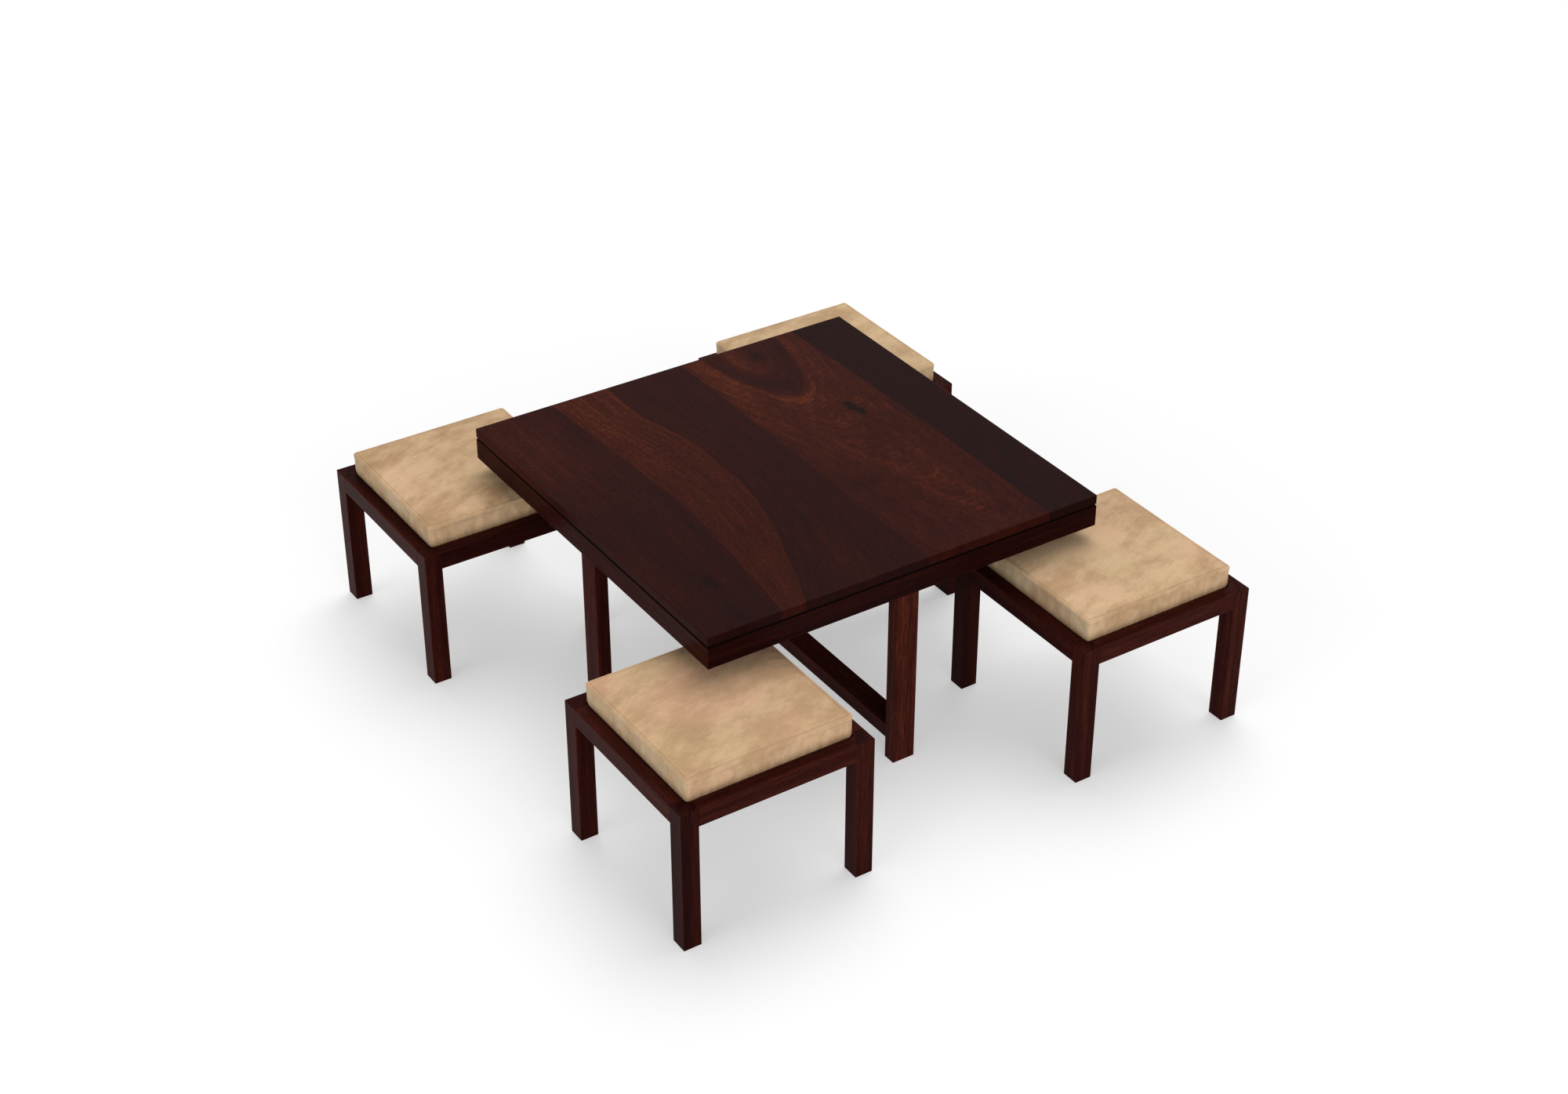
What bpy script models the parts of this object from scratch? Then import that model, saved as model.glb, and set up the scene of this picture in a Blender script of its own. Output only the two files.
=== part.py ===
"""A square coffee table with four stools that tuck under its corners.

Metres, +Z up. The origin is on the floor under the middle of the table. Front is -Y, back is +Y,
left is -X and right is +X.
"""

import math

import bmesh
import bpy
from mathutils import Matrix

# Clearances
FIT = 0.0003
OVERRUN = 0.002

# Table top
TOP_SIDE = 0.889
TABLE_HEIGHT = 0.4574
TOP_EDGE = 0.0186
GROOVE_HEIGHT = 0.0049
GROOVE_DEPTH = 0.0026

# Apron
APRON_HEIGHT = 0.0453
APRON_THICK = 0.0190
HOUSING_DEPTH = 0.0040

# Table legs
TABLE_LEG_WIDTH = 0.0497
TABLE_LEG_THICK = 0.0287
TABLE_LEG_SETBACK = 0.0040

# Stretchers
STRETCHER_WIDTH = 0.0480
STRETCHER_THICK = 0.0305
STRETCHER_RISE = 0.0450
STRETCHER_TENON_WIDTH = 0.0300
STRETCHER_TENON_THICK = 0.0130
STRETCHER_TENON_LENGTH = 0.0180

# Corner blocks and the screws through them
BLOCK_REACH = 0.0580
BLOCK_TOE = 0.0120
BLOCK_HEIGHT = 0.0360
SCREW_SHANK_RADIUS = 0.0022
SCREW_HEAD_RADIUS = 0.0048
SCREW_HEAD_HEIGHT = 0.0032
SCREW_BITE = 0.0120
SCREW_COUNTERBORE = 0.0060
SCREW_FROM_CORNER = 0.0220
SCREW_SIDES = 16

# Stool frame
STOOL_SIDE = 0.4063
STOOL_STOCK = 0.0371
STOOL_RAIL_HEIGHT = 0.0374
LIP_WIDTH = 0.0272
REBATE_DEPTH = 0.0130
TENON_SETBACK = 0.0100
TENON_THICK = 0.0110
TENON_RISE = 0.0060
TENON_DROP = 0.0120
HAUNCH_LENGTH = 0.0050
HAUNCH_DROP = 0.0045

# Seat
BOARD_THICK = 0.0090
BOARD_CLEARANCE = 0.0010
CUSHION_INSET = 0.0024
CUSHION_FOOT_DRAW = 0.0014
CUSHION_SEAM_FLARE = 0.0010
CUSHION_WAIST = 0.0014
CUSHION_SEAM_HEIGHT = 0.0445
CUSHION_CROWN = 0.0062
CUSHION_FOOT_RADIUS = 0.0080
CUSHION_EAR_RADIUS = 0.0065
WELT_REACH = 0.0050
WELT_RISE = 0.0010

# Place of the stools: how far each reaches under the table, and how far the four stand off centre
REACH_UNDER_SIDE = 0.2054
REACH_UNDER_FRONT = 0.1622
STOOLS_SHIFT_X = -0.0063
STOOLS_SHIFT_Y = 0.0026
TUCK_CLEARANCE = 0.0331

# Edges
TOP_EASE = 0.0016
FRAME_EASE = 0.0011
EASE_STEPS = 2
EASE_ROUND_SHARE = 0.5

# Heights that follow
TOP_UNDERSIDE = TABLE_HEIGHT - TOP_EDGE - GROOVE_HEIGHT
APRON_TOP = TOP_UNDERSIDE - FIT
APRON_BOTTOM = APRON_TOP - APRON_HEIGHT
CUSHION_HEIGHT = CUSHION_SEAM_HEIGHT + CUSHION_CROWN
STOOL_HEIGHT = APRON_BOTTOM - TUCK_CLEARANCE - CUSHION_HEIGHT

# Shares of the cushion's side: height from its foot to the stitching under the welt, and how far
# the foot's draw, the seam's flare and the waist act there
CUSHION_SIDE_SHARES = (
    (0.00, 1.00, 0.00, 0.00),
    (0.05, 0.25, 0.00, 0.30),
    (0.20, 0.00, 0.00, 0.80),
    (0.45, 0.00, 0.06, 1.00),
    (0.70, 0.00, 0.30, 0.85),
    (0.88, 0.00, 0.74, 0.55),
    (1.00, 0.00, 1.00, 0.40),
)
# Shares of the welt that runs over the seam: how far down from it, in from it, out and up
CUSHION_WELT_SHARES = (
    (0.75, 0.00, 0.90, 0.00),
    (0.25, 0.00, 1.00, 0.10),
    (0.00, 0.00, 0.45, 0.45),
    (0.00, 0.25, 0.10, 1.00),
    (0.00, 0.75, 0.00, 0.90),
)
CUSHION_TOP_SHARES = (1.00, 0.96, 0.89, 0.78, 0.62, 0.42, 0.20)
CROWN_ROUND_SHARE = 0.85
CORNER_STEPS = 4
SIDE_STEPS = 6

QUARTER = math.pi / 2
# Each name's place in its row is the number of quarters that turn the first one's pieces to it
SIDES = ("front", "right", "back", "left")
CORNERS = ("front_left", "front_right", "back_right", "back_left")
# How a section drawn in X and Y, and extruded along Z, is laid down to run along X
ALONG_X = Matrix(((0, 0, 1, 0), (1, 0, 0, 0), (0, 1, 0, 0), (0, 0, 0, 1)))


# Materials


def material(name, colour, roughness, metallic=0.0):
    """A plain Principled material."""
    made = bpy.data.materials.new(name)
    made.use_nodes = True
    shader = made.node_tree.nodes["Principled BSDF"]
    shader.inputs["Base Color"].default_value = (*colour, 1.0)
    shader.inputs["Roughness"].default_value = roughness
    shader.inputs["Metallic"].default_value = metallic
    made.diffuse_color = (*colour, 1.0)
    return made


def make_materials():
    """The five finishes of the set."""
    return {
        "top": material("dark hardwood top", (0.040, 0.013, 0.010), 0.42),
        "frame": material("dark hardwood frame", (0.033, 0.011, 0.009), 0.48),
        "plywood": material("birch plywood", (0.55, 0.40, 0.24), 0.70),
        "suede": material("beige suede", (0.52, 0.36, 0.22), 0.95),
        "steel": material("zinc plated steel", (0.60, 0.60, 0.58), 0.35, 1.0),
    }


# Forms


def prism(outline, low, high, turn=None):
    """A closed form: an outline that runs counter-clockwise in plan, raised from low to high."""
    form = bmesh.new()
    ring = [form.verts.new((x, y, low)) for x, y in outline]
    base = form.faces.new(ring)
    raised = bmesh.ops.extrude_face_region(form, geom=[base])["geom"]
    points = [item for item in raised if isinstance(item, bmesh.types.BMVert)]
    bmesh.ops.translate(form, verts=points, vec=(0, 0, high - low))
    bmesh.ops.recalc_face_normals(form, faces=form.faces)
    if turn is not None:
        bmesh.ops.transform(form, matrix=turn, verts=form.verts)
    return form


def block(low, high):
    """A box between two corners."""
    outline = ((low[0], low[1]), (high[0], low[1]), (high[0], high[1]), (low[0], high[1]))
    return prism(outline, low[2], high[2])


def rod(radius, low, high, place=(0, 0)):
    """A round bar standing on its end."""
    form = bmesh.new()
    depth = high - low
    centre = Matrix.Translation((*place, low + depth / 2))
    bmesh.ops.create_cone(
        form, cap_ends=True, segments=SCREW_SIDES, radius1=radius, radius2=radius, depth=depth, matrix=centre
    )
    return form


def edges_where(form, direction, test):
    """The edges that run along an axis and whose middle passes a test."""
    found = []
    for edge in form.edges:
        start, end = (vert.co for vert in edge.verts)
        run = (end - start).normalized()
        if abs(run[direction]) > math.cos(math.radians(1)) and test((start + end) / 2):
            found.append(edge)
    return found


def ease(form, edges, width):
    """Rounds edges over by a small width."""
    bmesh.ops.bevel(
        form,
        geom=edges,
        offset=width,
        segments=EASE_STEPS,
        profile=EASE_ROUND_SHARE,
        affect="EDGES",
        clamp_overlap=True,
    )


def mesh_from(form, name):
    """Turns a form into a mesh that shades smooth over its small angles."""
    mesh = bpy.data.meshes.new(name)
    form.to_mesh(mesh)
    form.free()
    mesh.shade_smooth()
    mesh.set_sharp_from_angle(angle=math.radians(35))
    return mesh


def combined(name, form, joined=(), cut=()):
    """The mesh of a form with other forms joined to it and then cut out of it."""
    body = bpy.data.objects.new(name, mesh_from(form, name))
    helpers = []
    bpy.context.collection.objects.link(body)
    for operation, forms in (("UNION", joined), ("DIFFERENCE", cut)):
        for other in forms:
            helper = bpy.data.objects.new(name + "_helper", mesh_from(other, name + "_helper"))
            helper.hide_render = True
            helper.display_type = "WIRE"
            bpy.context.collection.objects.link(helper)
            helpers.append(helper)
            step = body.modifiers.new(operation.title(), "BOOLEAN")
            step.operation = operation
            step.solver = "EXACT"
            step.object = helper
    graph = bpy.context.evaluated_depsgraph_get()
    mesh = bpy.data.meshes.new_from_object(body.evaluated_get(graph))
    mesh.name = name
    mesh.shade_smooth()
    mesh.set_sharp_from_angle(angle=math.radians(35))
    for spare in [body, *helpers]:
        bpy.data.objects.remove(spare, do_unlink=True)
    return mesh


def place(name, mesh, finish, parent, location=(0, 0, 0), turn=0.0):
    """Puts a mesh in the scene as a named piece, turned about Z, on its parent."""
    piece = bpy.data.objects.new(name, mesh)
    bpy.context.collection.objects.link(piece)
    if not mesh.materials:
        mesh.materials.append(finish)
    piece.parent = parent
    piece.location = location
    piece.rotation_euler = (0, 0, turn)
    return piece


def anchor(name, location):
    """An empty that carries the pieces of one body."""
    empty = bpy.data.objects.new(name, None)
    bpy.context.collection.objects.link(empty)
    empty.location = location
    return empty


def turned(x, y, turns):
    """A point in plan turned about the origin by a number of quarters."""
    angle = turns * QUARTER
    return x * math.cos(angle) - y * math.sin(angle), x * math.sin(angle) + y * math.cos(angle)


# Table


def top_mesh():
    """The panel: its upper edge eased, its lower edge rebated to leave the dark line over the apron."""
    half = TOP_SIDE / 2
    edge_bottom = TABLE_HEIGHT - TOP_EDGE
    form = block((-half, -half, edge_bottom), (half, half, TABLE_HEIGHT))
    base = [min(form.faces, key=lambda face: face.calc_center_median().z)]
    bmesh.ops.inset_region(form, faces=base, thickness=GROOVE_DEPTH)
    lowered = bmesh.ops.extrude_face_region(form, geom=base)["geom"]
    points = [item for item in lowered if isinstance(item, bmesh.types.BMVert)]
    bmesh.ops.delete(form, geom=base, context="FACES_ONLY")
    bmesh.ops.translate(form, verts=points, vec=(0, 0, TOP_UNDERSIDE - edge_bottom))
    bmesh.ops.recalc_face_normals(form, faces=form.faces)

    def outer(middle):
        return max(abs(middle.x), abs(middle.y)) > half - GROOVE_DEPTH / 2

    rim = edges_where(form, 0, lambda middle: middle.z > edge_bottom + TOP_EDGE / 2)
    rim += edges_where(form, 1, lambda middle: middle.z > edge_bottom + TOP_EDGE / 2)
    rim += edges_where(form, 2, outer)
    ease(form, rim, TOP_EASE)
    holes = []
    for turns in range(len(CORNERS)):
        x, y = turned(*screw_place(), turns)
        depth = TOP_UNDERSIDE + SCREW_BITE + FIT
        holes.append(rod(SCREW_SHANK_RADIUS + FIT, TOP_UNDERSIDE - OVERRUN, depth, (x, y)))
    return combined("table_top", form, cut=holes)


def apron_mesh():
    """A rail on the front side: outer face on Y = 0, mitred ends, housed behind for the leg's head."""
    half = TOP_SIDE / 2
    relief = FIT / math.sqrt(2)
    outline = (
        (-half + relief, 0),
        (half - relief, 0),
        (half - APRON_THICK - relief, APRON_THICK),
        (-half + APRON_THICK + relief, APRON_THICK),
    )
    form = prism(outline, 0, APRON_HEIGHT)
    ease(form, edges_where(form, 0, lambda middle: middle.y < APRON_THICK / 2), FRAME_EASE)
    reach = TABLE_LEG_WIDTH / 2 + FIT
    housing = block(
        (-reach, APRON_THICK - HOUSING_DEPTH, -OVERRUN), (reach, APRON_THICK + OVERRUN, APRON_HEIGHT + OVERRUN)
    )
    return combined("table_apron", form, cut=[housing])


def table_leg_mesh():
    """A flat leg: outer face on Y = 0, its head cut back to lap behind the apron."""
    shoulder = APRON_BOTTOM - FIT
    head_face = APRON_THICK - HOUSING_DEPTH - TABLE_LEG_SETBACK + FIT
    head_top = TOP_UNDERSIDE - FIT
    outline = (
        (0, 0),
        (TABLE_LEG_THICK, 0),
        (TABLE_LEG_THICK, head_top),
        (head_face, head_top),
        (head_face, shoulder),
        (0, shoulder),
    )
    half = TABLE_LEG_WIDTH / 2
    form = prism(outline, -half, half, ALONG_X)
    ease(form, edges_where(form, 2, lambda middle: middle.z < shoulder), FRAME_EASE)
    mortise = tenon_block(STRETCHER_TENON_LENGTH + FIT, FIT)
    bmesh.ops.translate(mortise, verts=mortise.verts, vec=(0, TABLE_LEG_THICK, STRETCHER_RISE))
    return combined("table_leg", form, cut=[mortise])


def tenon_block(length, around):
    """A stretcher's tenon pointing to -Y from Y = 0, or its mortise when some is added all round."""
    half = STRETCHER_TENON_WIDTH / 2 + around
    middle = STRETCHER_THICK / 2
    thick = STRETCHER_TENON_THICK / 2 + around
    return block((-half, -length, middle - thick), (half, OVERRUN, middle + thick))


def stretcher_mesh(lap_on_top):
    """A flat stretcher along Y with a tenon at each end and half its thickness cut away at the middle."""
    half_length = TOP_SIDE / 2 - TABLE_LEG_SETBACK - TABLE_LEG_THICK - FIT
    half_width = STRETCHER_WIDTH / 2
    form = block((-half_width, -half_length, 0), (half_width, half_length, STRETCHER_THICK))
    ease(form, edges_where(form, 1, lambda middle: True), FRAME_EASE)
    tenons = []
    for turns in (0, 2):
        tenon = tenon_block(STRETCHER_TENON_LENGTH, 0)
        bmesh.ops.translate(tenon, verts=tenon.verts, vec=(0, -half_length, 0))
        bmesh.ops.rotate(tenon, verts=tenon.verts, matrix=Matrix.Rotation(turns * QUARTER, 3, "Z"))
        tenons.append(tenon)
    lap = half_width + FIT
    middle = STRETCHER_THICK / 2
    if lap_on_top:
        notch = block((-lap, -lap, middle - FIT / 2), (lap, lap, STRETCHER_THICK + OVERRUN))
    else:
        notch = block((-lap, -lap, -OVERRUN), (lap, lap, middle + FIT / 2))
    return combined("table_stretcher", form, joined=tenons, cut=[notch])


def block_corner():
    """The plan place of the front left block's inner corner, just clear of both rails."""
    return -TOP_SIDE / 2 + APRON_THICK + FIT


def screw_place():
    """The plan place of the front left screw."""
    return block_corner() + SCREW_FROM_CORNER, block_corner() + SCREW_FROM_CORNER


def corner_block_mesh():
    """The front left glue block: a right angle with blunt toes, bored for its screw."""
    outline = (
        (0, 0),
        (BLOCK_REACH, 0),
        (BLOCK_REACH, BLOCK_TOE),
        (BLOCK_TOE, BLOCK_REACH),
        (0, BLOCK_REACH),
    )
    form = prism(outline, 0, BLOCK_HEIGHT)
    centre = (SCREW_FROM_CORNER, SCREW_FROM_CORNER)
    hole = rod(SCREW_SHANK_RADIUS + FIT, -OVERRUN, BLOCK_HEIGHT + OVERRUN, centre)
    counterbore = rod(SCREW_HEAD_RADIUS + FIT, -OVERRUN, SCREW_COUNTERBORE, centre)
    return combined("table_corner_block", form, cut=[hole, counterbore])


def screw_mesh():
    """A pan head screw standing on its axis, head down, as high as the counterbore's seat asks."""
    block_bottom = TOP_UNDERSIDE - FIT - BLOCK_HEIGHT
    seat = block_bottom + SCREW_COUNTERBORE
    head = rod(SCREW_HEAD_RADIUS, seat - FIT - SCREW_HEAD_HEIGHT, seat - FIT)
    ease(head, [edge for edge in head.edges if edge.verts[0].co.z == edge.verts[1].co.z], SCREW_HEAD_HEIGHT / 4)
    shank = rod(SCREW_SHANK_RADIUS, seat - FIT - SCREW_HEAD_HEIGHT / 2, TOP_UNDERSIDE + SCREW_BITE)
    return combined("table_top_screw", head, joined=[shank])


def build_table(finishes):
    """All the pieces of the table."""
    table = anchor("table", (0, 0, 0))
    place("table_top", top_mesh(), finishes["top"], table)
    apron = apron_mesh()
    leg = table_leg_mesh()
    for turns, side in enumerate(SIDES):
        angle = turns * QUARTER
        x, y = turned(0, -TOP_SIDE / 2, turns)
        place(f"table_apron_{side}", apron, finishes["frame"], table, (x, y, APRON_BOTTOM), angle)
        x, y = turned(0, -TOP_SIDE / 2 + TABLE_LEG_SETBACK, turns)
        place(f"table_leg_{side}", leg, finishes["frame"], table, (x, y, 0), angle)
    rise = (0, 0, STRETCHER_RISE)
    for name, lap_on_top, turns in (("left_right", True, 1), ("front_back", False, 0)):
        stretcher = stretcher_mesh(lap_on_top)
        place(f"table_stretcher_{name}", stretcher, finishes["frame"], table, rise, turns * QUARTER)
    glue_block = corner_block_mesh()
    screw = screw_mesh()
    for turns, corner in enumerate(CORNERS):
        angle = turns * QUARTER
        x, y = turned(block_corner(), block_corner(), turns)
        bottom = TOP_UNDERSIDE - FIT - BLOCK_HEIGHT
        place(f"table_corner_block_{corner}", glue_block, finishes["frame"], table, (x, y, bottom), angle)
        x, y = turned(*screw_place(), turns)
        place(f"table_top_screw_{corner}", screw, finishes["steel"], table, (x, y, 0), angle)


# Stools


def tenon_heights():
    """Bottom and top of a tenon and the top of its haunch, from the rail's bottom."""
    return TENON_RISE, STOOL_RAIL_HEIGHT - TENON_DROP, STOOL_RAIL_HEIGHT - HAUNCH_DROP


def stool_rail_mesh():
    """A rail along X: outer face on Y = 0, rebated inside, with tenons mitred to meet in the legs."""
    half = STOOL_SIDE / 2
    shoulder = half - STOOL_STOCK - FIT
    ledge = STOOL_RAIL_HEIGHT - REBATE_DEPTH
    section = (
        (0, 0),
        (STOOL_STOCK, 0),
        (STOOL_STOCK, ledge),
        (LIP_WIDTH, ledge),
        (LIP_WIDTH, STOOL_RAIL_HEIGHT),
        (0, STOOL_RAIL_HEIGHT),
    )
    form = prism(section, -shoulder, shoulder, ALONG_X)
    ease(form, edges_where(form, 0, lambda middle: abs(middle.z - ledge) > FRAME_EASE), FRAME_EASE)
    low, high, haunch_top = tenon_heights()
    near = TENON_SETBACK
    far = TENON_SETBACK + TENON_THICK
    relief = FIT / math.sqrt(2)
    tongues = []
    for end in (1, -1):
        tongue = (
            (end * (shoulder - OVERRUN), near),
            (end * (half - near - relief), near),
            (end * (half - far - relief), far),
            (end * (shoulder - OVERRUN), far),
        )
        tongues.append(prism(tongue[::end], low, high))
        haunch = (
            (end * (shoulder - OVERRUN), near),
            (end * (shoulder + HAUNCH_LENGTH), near),
            (end * (shoulder + HAUNCH_LENGTH), far),
            (end * (shoulder - OVERRUN), far),
        )
        tongues.append(prism(haunch[::end], high - OVERRUN, haunch_top))
    return combined("stool_rail", form, joined=tongues)


def stool_leg_mesh():
    """A leg whose outer corner stands on X = Y = 0, cut for the seat and for two rails."""
    form = block((0, 0, 0), (STOOL_STOCK, STOOL_STOCK, STOOL_HEIGHT))
    ease(form, list(form.edges), FRAME_EASE)
    past = STOOL_STOCK + OVERRUN
    ledge = STOOL_HEIGHT - REBATE_DEPTH
    cuts = [block((LIP_WIDTH, LIP_WIDTH, ledge), (past, past, STOOL_HEIGHT + OVERRUN))]
    low, high, haunch_top = (STOOL_HEIGHT - STOOL_RAIL_HEIGHT + height for height in tenon_heights())
    near = TENON_SETBACK - FIT
    far = TENON_SETBACK + TENON_THICK + FIT
    haunch_start = STOOL_STOCK - HAUNCH_LENGTH - FIT
    for start, bottom, top in ((near, low - FIT, high + FIT), (haunch_start, high, haunch_top + FIT)):
        cuts.append(block((start, near, bottom), (past, far, top)))
        cuts.append(block((near, start, bottom), (far, past, top)))
    return combined("stool_leg", form, cut=cuts)


def board_mesh():
    """The seat board that lies in the rebate."""
    half = STOOL_SIDE / 2 - LIP_WIDTH - BOARD_CLEARANCE
    form = block((-half, -half, 0), (half, half, BOARD_THICK))
    ease(form, edges_where(form, 2, lambda middle: True), BOARD_CLEARANCE)
    return mesh_from(form, "stool_seat_board")


def cushion_ring(form, half, radius, waist, height):
    """One level of the cushion: a square with round corners and sides that draw in between them."""
    ring = []
    reach = half - radius
    for turns in range(len(SIDES)):
        for step in range(SIDE_STEPS):
            along = -1 + 2 * step / SIDE_STEPS
            draw = waist * math.cos(along * QUARTER) ** 2
            if step > 0:
                ring.append((*turned(along * reach, -half + draw, turns), height))
        for step in range(CORNER_STEPS + 1):
            angle = -QUARTER + QUARTER * step / CORNER_STEPS
            x = reach + radius * math.cos(angle)
            y = -reach + radius * math.sin(angle)
            ring.append((*turned(x, y, turns), height))
    return [form.verts.new(point) for point in ring]


def cushion_mesh():
    """A boxed cushion: drawn in at the foot, flared to its welted seam, crowned above it."""
    form = bmesh.new()
    foot = BOARD_THICK - REBATE_DEPTH + FIT + FIT
    side = STOOL_SIDE / 2 - LIP_WIDTH - CUSHION_INSET
    seam = side + CUSHION_SEAM_FLARE
    seam_waist = CUSHION_SIDE_SHARES[-1][-1] * CUSHION_WAIST
    rings = []
    for rise, draw, flare, waist in CUSHION_SIDE_SHARES:
        height = foot + rise * (CUSHION_SEAM_HEIGHT - WELT_REACH - foot)
        half = side - draw * CUSHION_FOOT_DRAW + flare * CUSHION_SEAM_FLARE
        radius = CUSHION_FOOT_RADIUS + flare * (CUSHION_EAR_RADIUS - CUSHION_FOOT_RADIUS)
        rings.append(cushion_ring(form, half, radius, waist * CUSHION_WAIST, height))
    for down, inward, out, up in CUSHION_WELT_SHARES:
        height = CUSHION_SEAM_HEIGHT - down * WELT_REACH + up * WELT_RISE
        half = seam - inward * WELT_REACH + out * WELT_RISE
        rings.append(cushion_ring(form, half, CUSHION_EAR_RADIUS, seam_waist, height))
    for share in CUSHION_TOP_SHARES:
        height = CUSHION_SEAM_HEIGHT + CUSHION_CROWN * (1 - share**4)
        half = (seam - WELT_REACH) * share
        radius = CUSHION_EAR_RADIUS * share + half * (1 - share) * CROWN_ROUND_SHARE
        rings.append(cushion_ring(form, half, radius, seam_waist * share, height))
    for lower, upper in zip(rings, rings[1:]):
        for index, vert in enumerate(lower):
            after = (index + 1) % len(lower)
            form.faces.new((vert, lower[after], upper[after], upper[index]))
    form.faces.new(list(reversed(rings[0])))
    crown = form.verts.new((0, 0, CUSHION_HEIGHT))
    last = rings[-1]
    for index, vert in enumerate(last):
        form.faces.new((vert, last[(index + 1) % len(last)], crown))
    bmesh.ops.recalc_face_normals(form, faces=form.faces)
    return mesh_from(form, "stool_cushion")


def stool_centre(corner):
    """Where a stool stands, from how far it reaches under the table."""
    across = TOP_SIDE / 2 - REACH_UNDER_SIDE + STOOL_SIDE / 2
    deep = TOP_SIDE / 2 - REACH_UNDER_FRONT + STOOL_SIDE / 2
    x = across if "right" in corner else -across
    y = deep if "back" in corner else -deep
    return x + STOOLS_SHIFT_X, y + STOOLS_SHIFT_Y, 0


def build_stools(finishes):
    """The four stools, each on its own anchor."""
    leg = stool_leg_mesh()
    rail = stool_rail_mesh()
    board = board_mesh()
    cushion = cushion_mesh()
    half = STOOL_SIDE / 2
    for corner in CORNERS:
        stool = anchor(f"stool_{corner}", stool_centre(corner))
        for turns, post in enumerate(CORNERS):
            x, y = turned(-half, -half, turns)
            place(f"{stool.name}_leg_{post}", leg, finishes["frame"], stool, (x, y, 0), turns * QUARTER)
        for turns, side in enumerate(SIDES):
            x, y = turned(0, -half, turns)
            bottom = STOOL_HEIGHT - STOOL_RAIL_HEIGHT
            place(f"{stool.name}_rail_{side}", rail, finishes["frame"], stool, (x, y, bottom), turns * QUARTER)
        seat = STOOL_HEIGHT - REBATE_DEPTH + FIT
        place(f"{stool.name}_seat_board", board, finishes["plywood"], stool, (0, 0, seat))
        place(f"{stool.name}_cushion", cushion, finishes["suede"], stool, (0, 0, STOOL_HEIGHT))


def main():
    """Clears the scene and builds the set."""
    for old in list(bpy.data.objects):
        bpy.data.objects.remove(old, do_unlink=True)
    finishes = make_materials()
    build_table(finishes)
    build_stools(finishes)


main()
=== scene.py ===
"""Looks of a square coffee table and its four corner stools, put round their packed construction.

Metres, +Z up. The middle of the table stands over the origin; front is -Y and left is -X.
"""

import logging
import math
import random
from collections.abc import Callable, Iterator, Sequence
from dataclasses import dataclass, field
from enum import Enum
from functools import reduce
from typing import ClassVar

import bmesh
import bpy
import numpy as np
from mathutils import Matrix, Vector


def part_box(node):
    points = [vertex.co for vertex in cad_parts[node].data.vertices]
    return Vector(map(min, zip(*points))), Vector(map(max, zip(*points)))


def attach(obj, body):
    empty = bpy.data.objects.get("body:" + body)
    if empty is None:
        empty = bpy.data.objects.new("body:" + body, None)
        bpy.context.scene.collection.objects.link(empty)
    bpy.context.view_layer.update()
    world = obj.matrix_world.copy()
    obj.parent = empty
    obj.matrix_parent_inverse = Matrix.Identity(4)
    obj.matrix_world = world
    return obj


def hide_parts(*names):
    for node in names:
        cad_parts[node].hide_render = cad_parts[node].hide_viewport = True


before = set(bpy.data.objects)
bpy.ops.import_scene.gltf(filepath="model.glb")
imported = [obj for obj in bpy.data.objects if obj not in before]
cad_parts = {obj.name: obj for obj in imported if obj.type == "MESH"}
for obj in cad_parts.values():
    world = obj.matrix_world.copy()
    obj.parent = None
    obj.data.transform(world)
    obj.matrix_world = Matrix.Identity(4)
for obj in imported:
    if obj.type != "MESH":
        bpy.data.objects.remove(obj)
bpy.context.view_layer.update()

log = logging.getLogger("coffee_table")

QUARTER = math.pi / 2
CORNERS = ("front_left", "front_right", "back_right", "back_left")

Piece = bpy.types.Object
Triple = tuple[float, float, float]
Line = tuple[tuple[float, float], ...]
Spots = tuple[tuple[float, float, float, float, float], ...]
Stops = tuple[tuple[float, Triple], ...]


def shade(*parts: int) -> Triple:
    """A colour's red, green and blue as a screen shows them, from 0 to 255, in linear light."""
    shares = [part / 255 for part in parts]
    return tuple(s / 12.92 if s <= 0.04045 else ((s + 0.055) / 1.055) ** 2.4 for s in shares)


def quarters(turns: float) -> Matrix:
    """A turn about the upright axis, by so many quarters."""
    return Matrix.Rotation(turns * QUARTER, 4, "Z")


WHITE = shade(255, 255, 255)


# Node trees


@dataclass(frozen=True)
class Wire:
    """A value that runs between nodes. Sums and products of wires add Math nodes to their tree."""

    sheet: "NodeSheet"
    socket: bpy.types.NodeSocket

    def __add__(self, other: "Feed") -> "Wire":
        """This value plus another."""
        return self.sheet.maths("ADD", self, other)

    def __sub__(self, other: "Feed") -> "Wire":
        """This value less another."""
        return self.sheet.maths("SUBTRACT", self, other)

    def __rsub__(self, other: float) -> "Wire":
        """A number less this value."""
        return self.sheet.maths("SUBTRACT", other, self)

    def __mul__(self, other: "Feed") -> "Wire":
        """This value times another."""
        return self.sheet.maths("MULTIPLY", self, other)

    def __truediv__(self, other: "Feed") -> "Wire":
        """This value over another."""
        return self.sheet.maths("DIVIDE", self, other)

    def __abs__(self) -> "Wire":
        """This value without its sign."""
        return self.sheet.maths("ABSOLUTE", self)

    __radd__ = __add__


Feed = Wire | float | tuple[float, ...]
Feeds = dict[int | str, Feed]
Wires = dict[str, Wire]


@dataclass(frozen=True)
class Layer:
    """One noise: its lumps to the unit each way, and its own seed, detail and contrast.

    The reach is the range of the raw noise that is eased to 0 to 1. Without one it stays raw.
    """

    lumps: Triple
    shift: float = 0.0
    detail: float = 3.0
    reach: tuple[float, float] | None = None
    roughness: float = 0.5


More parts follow.
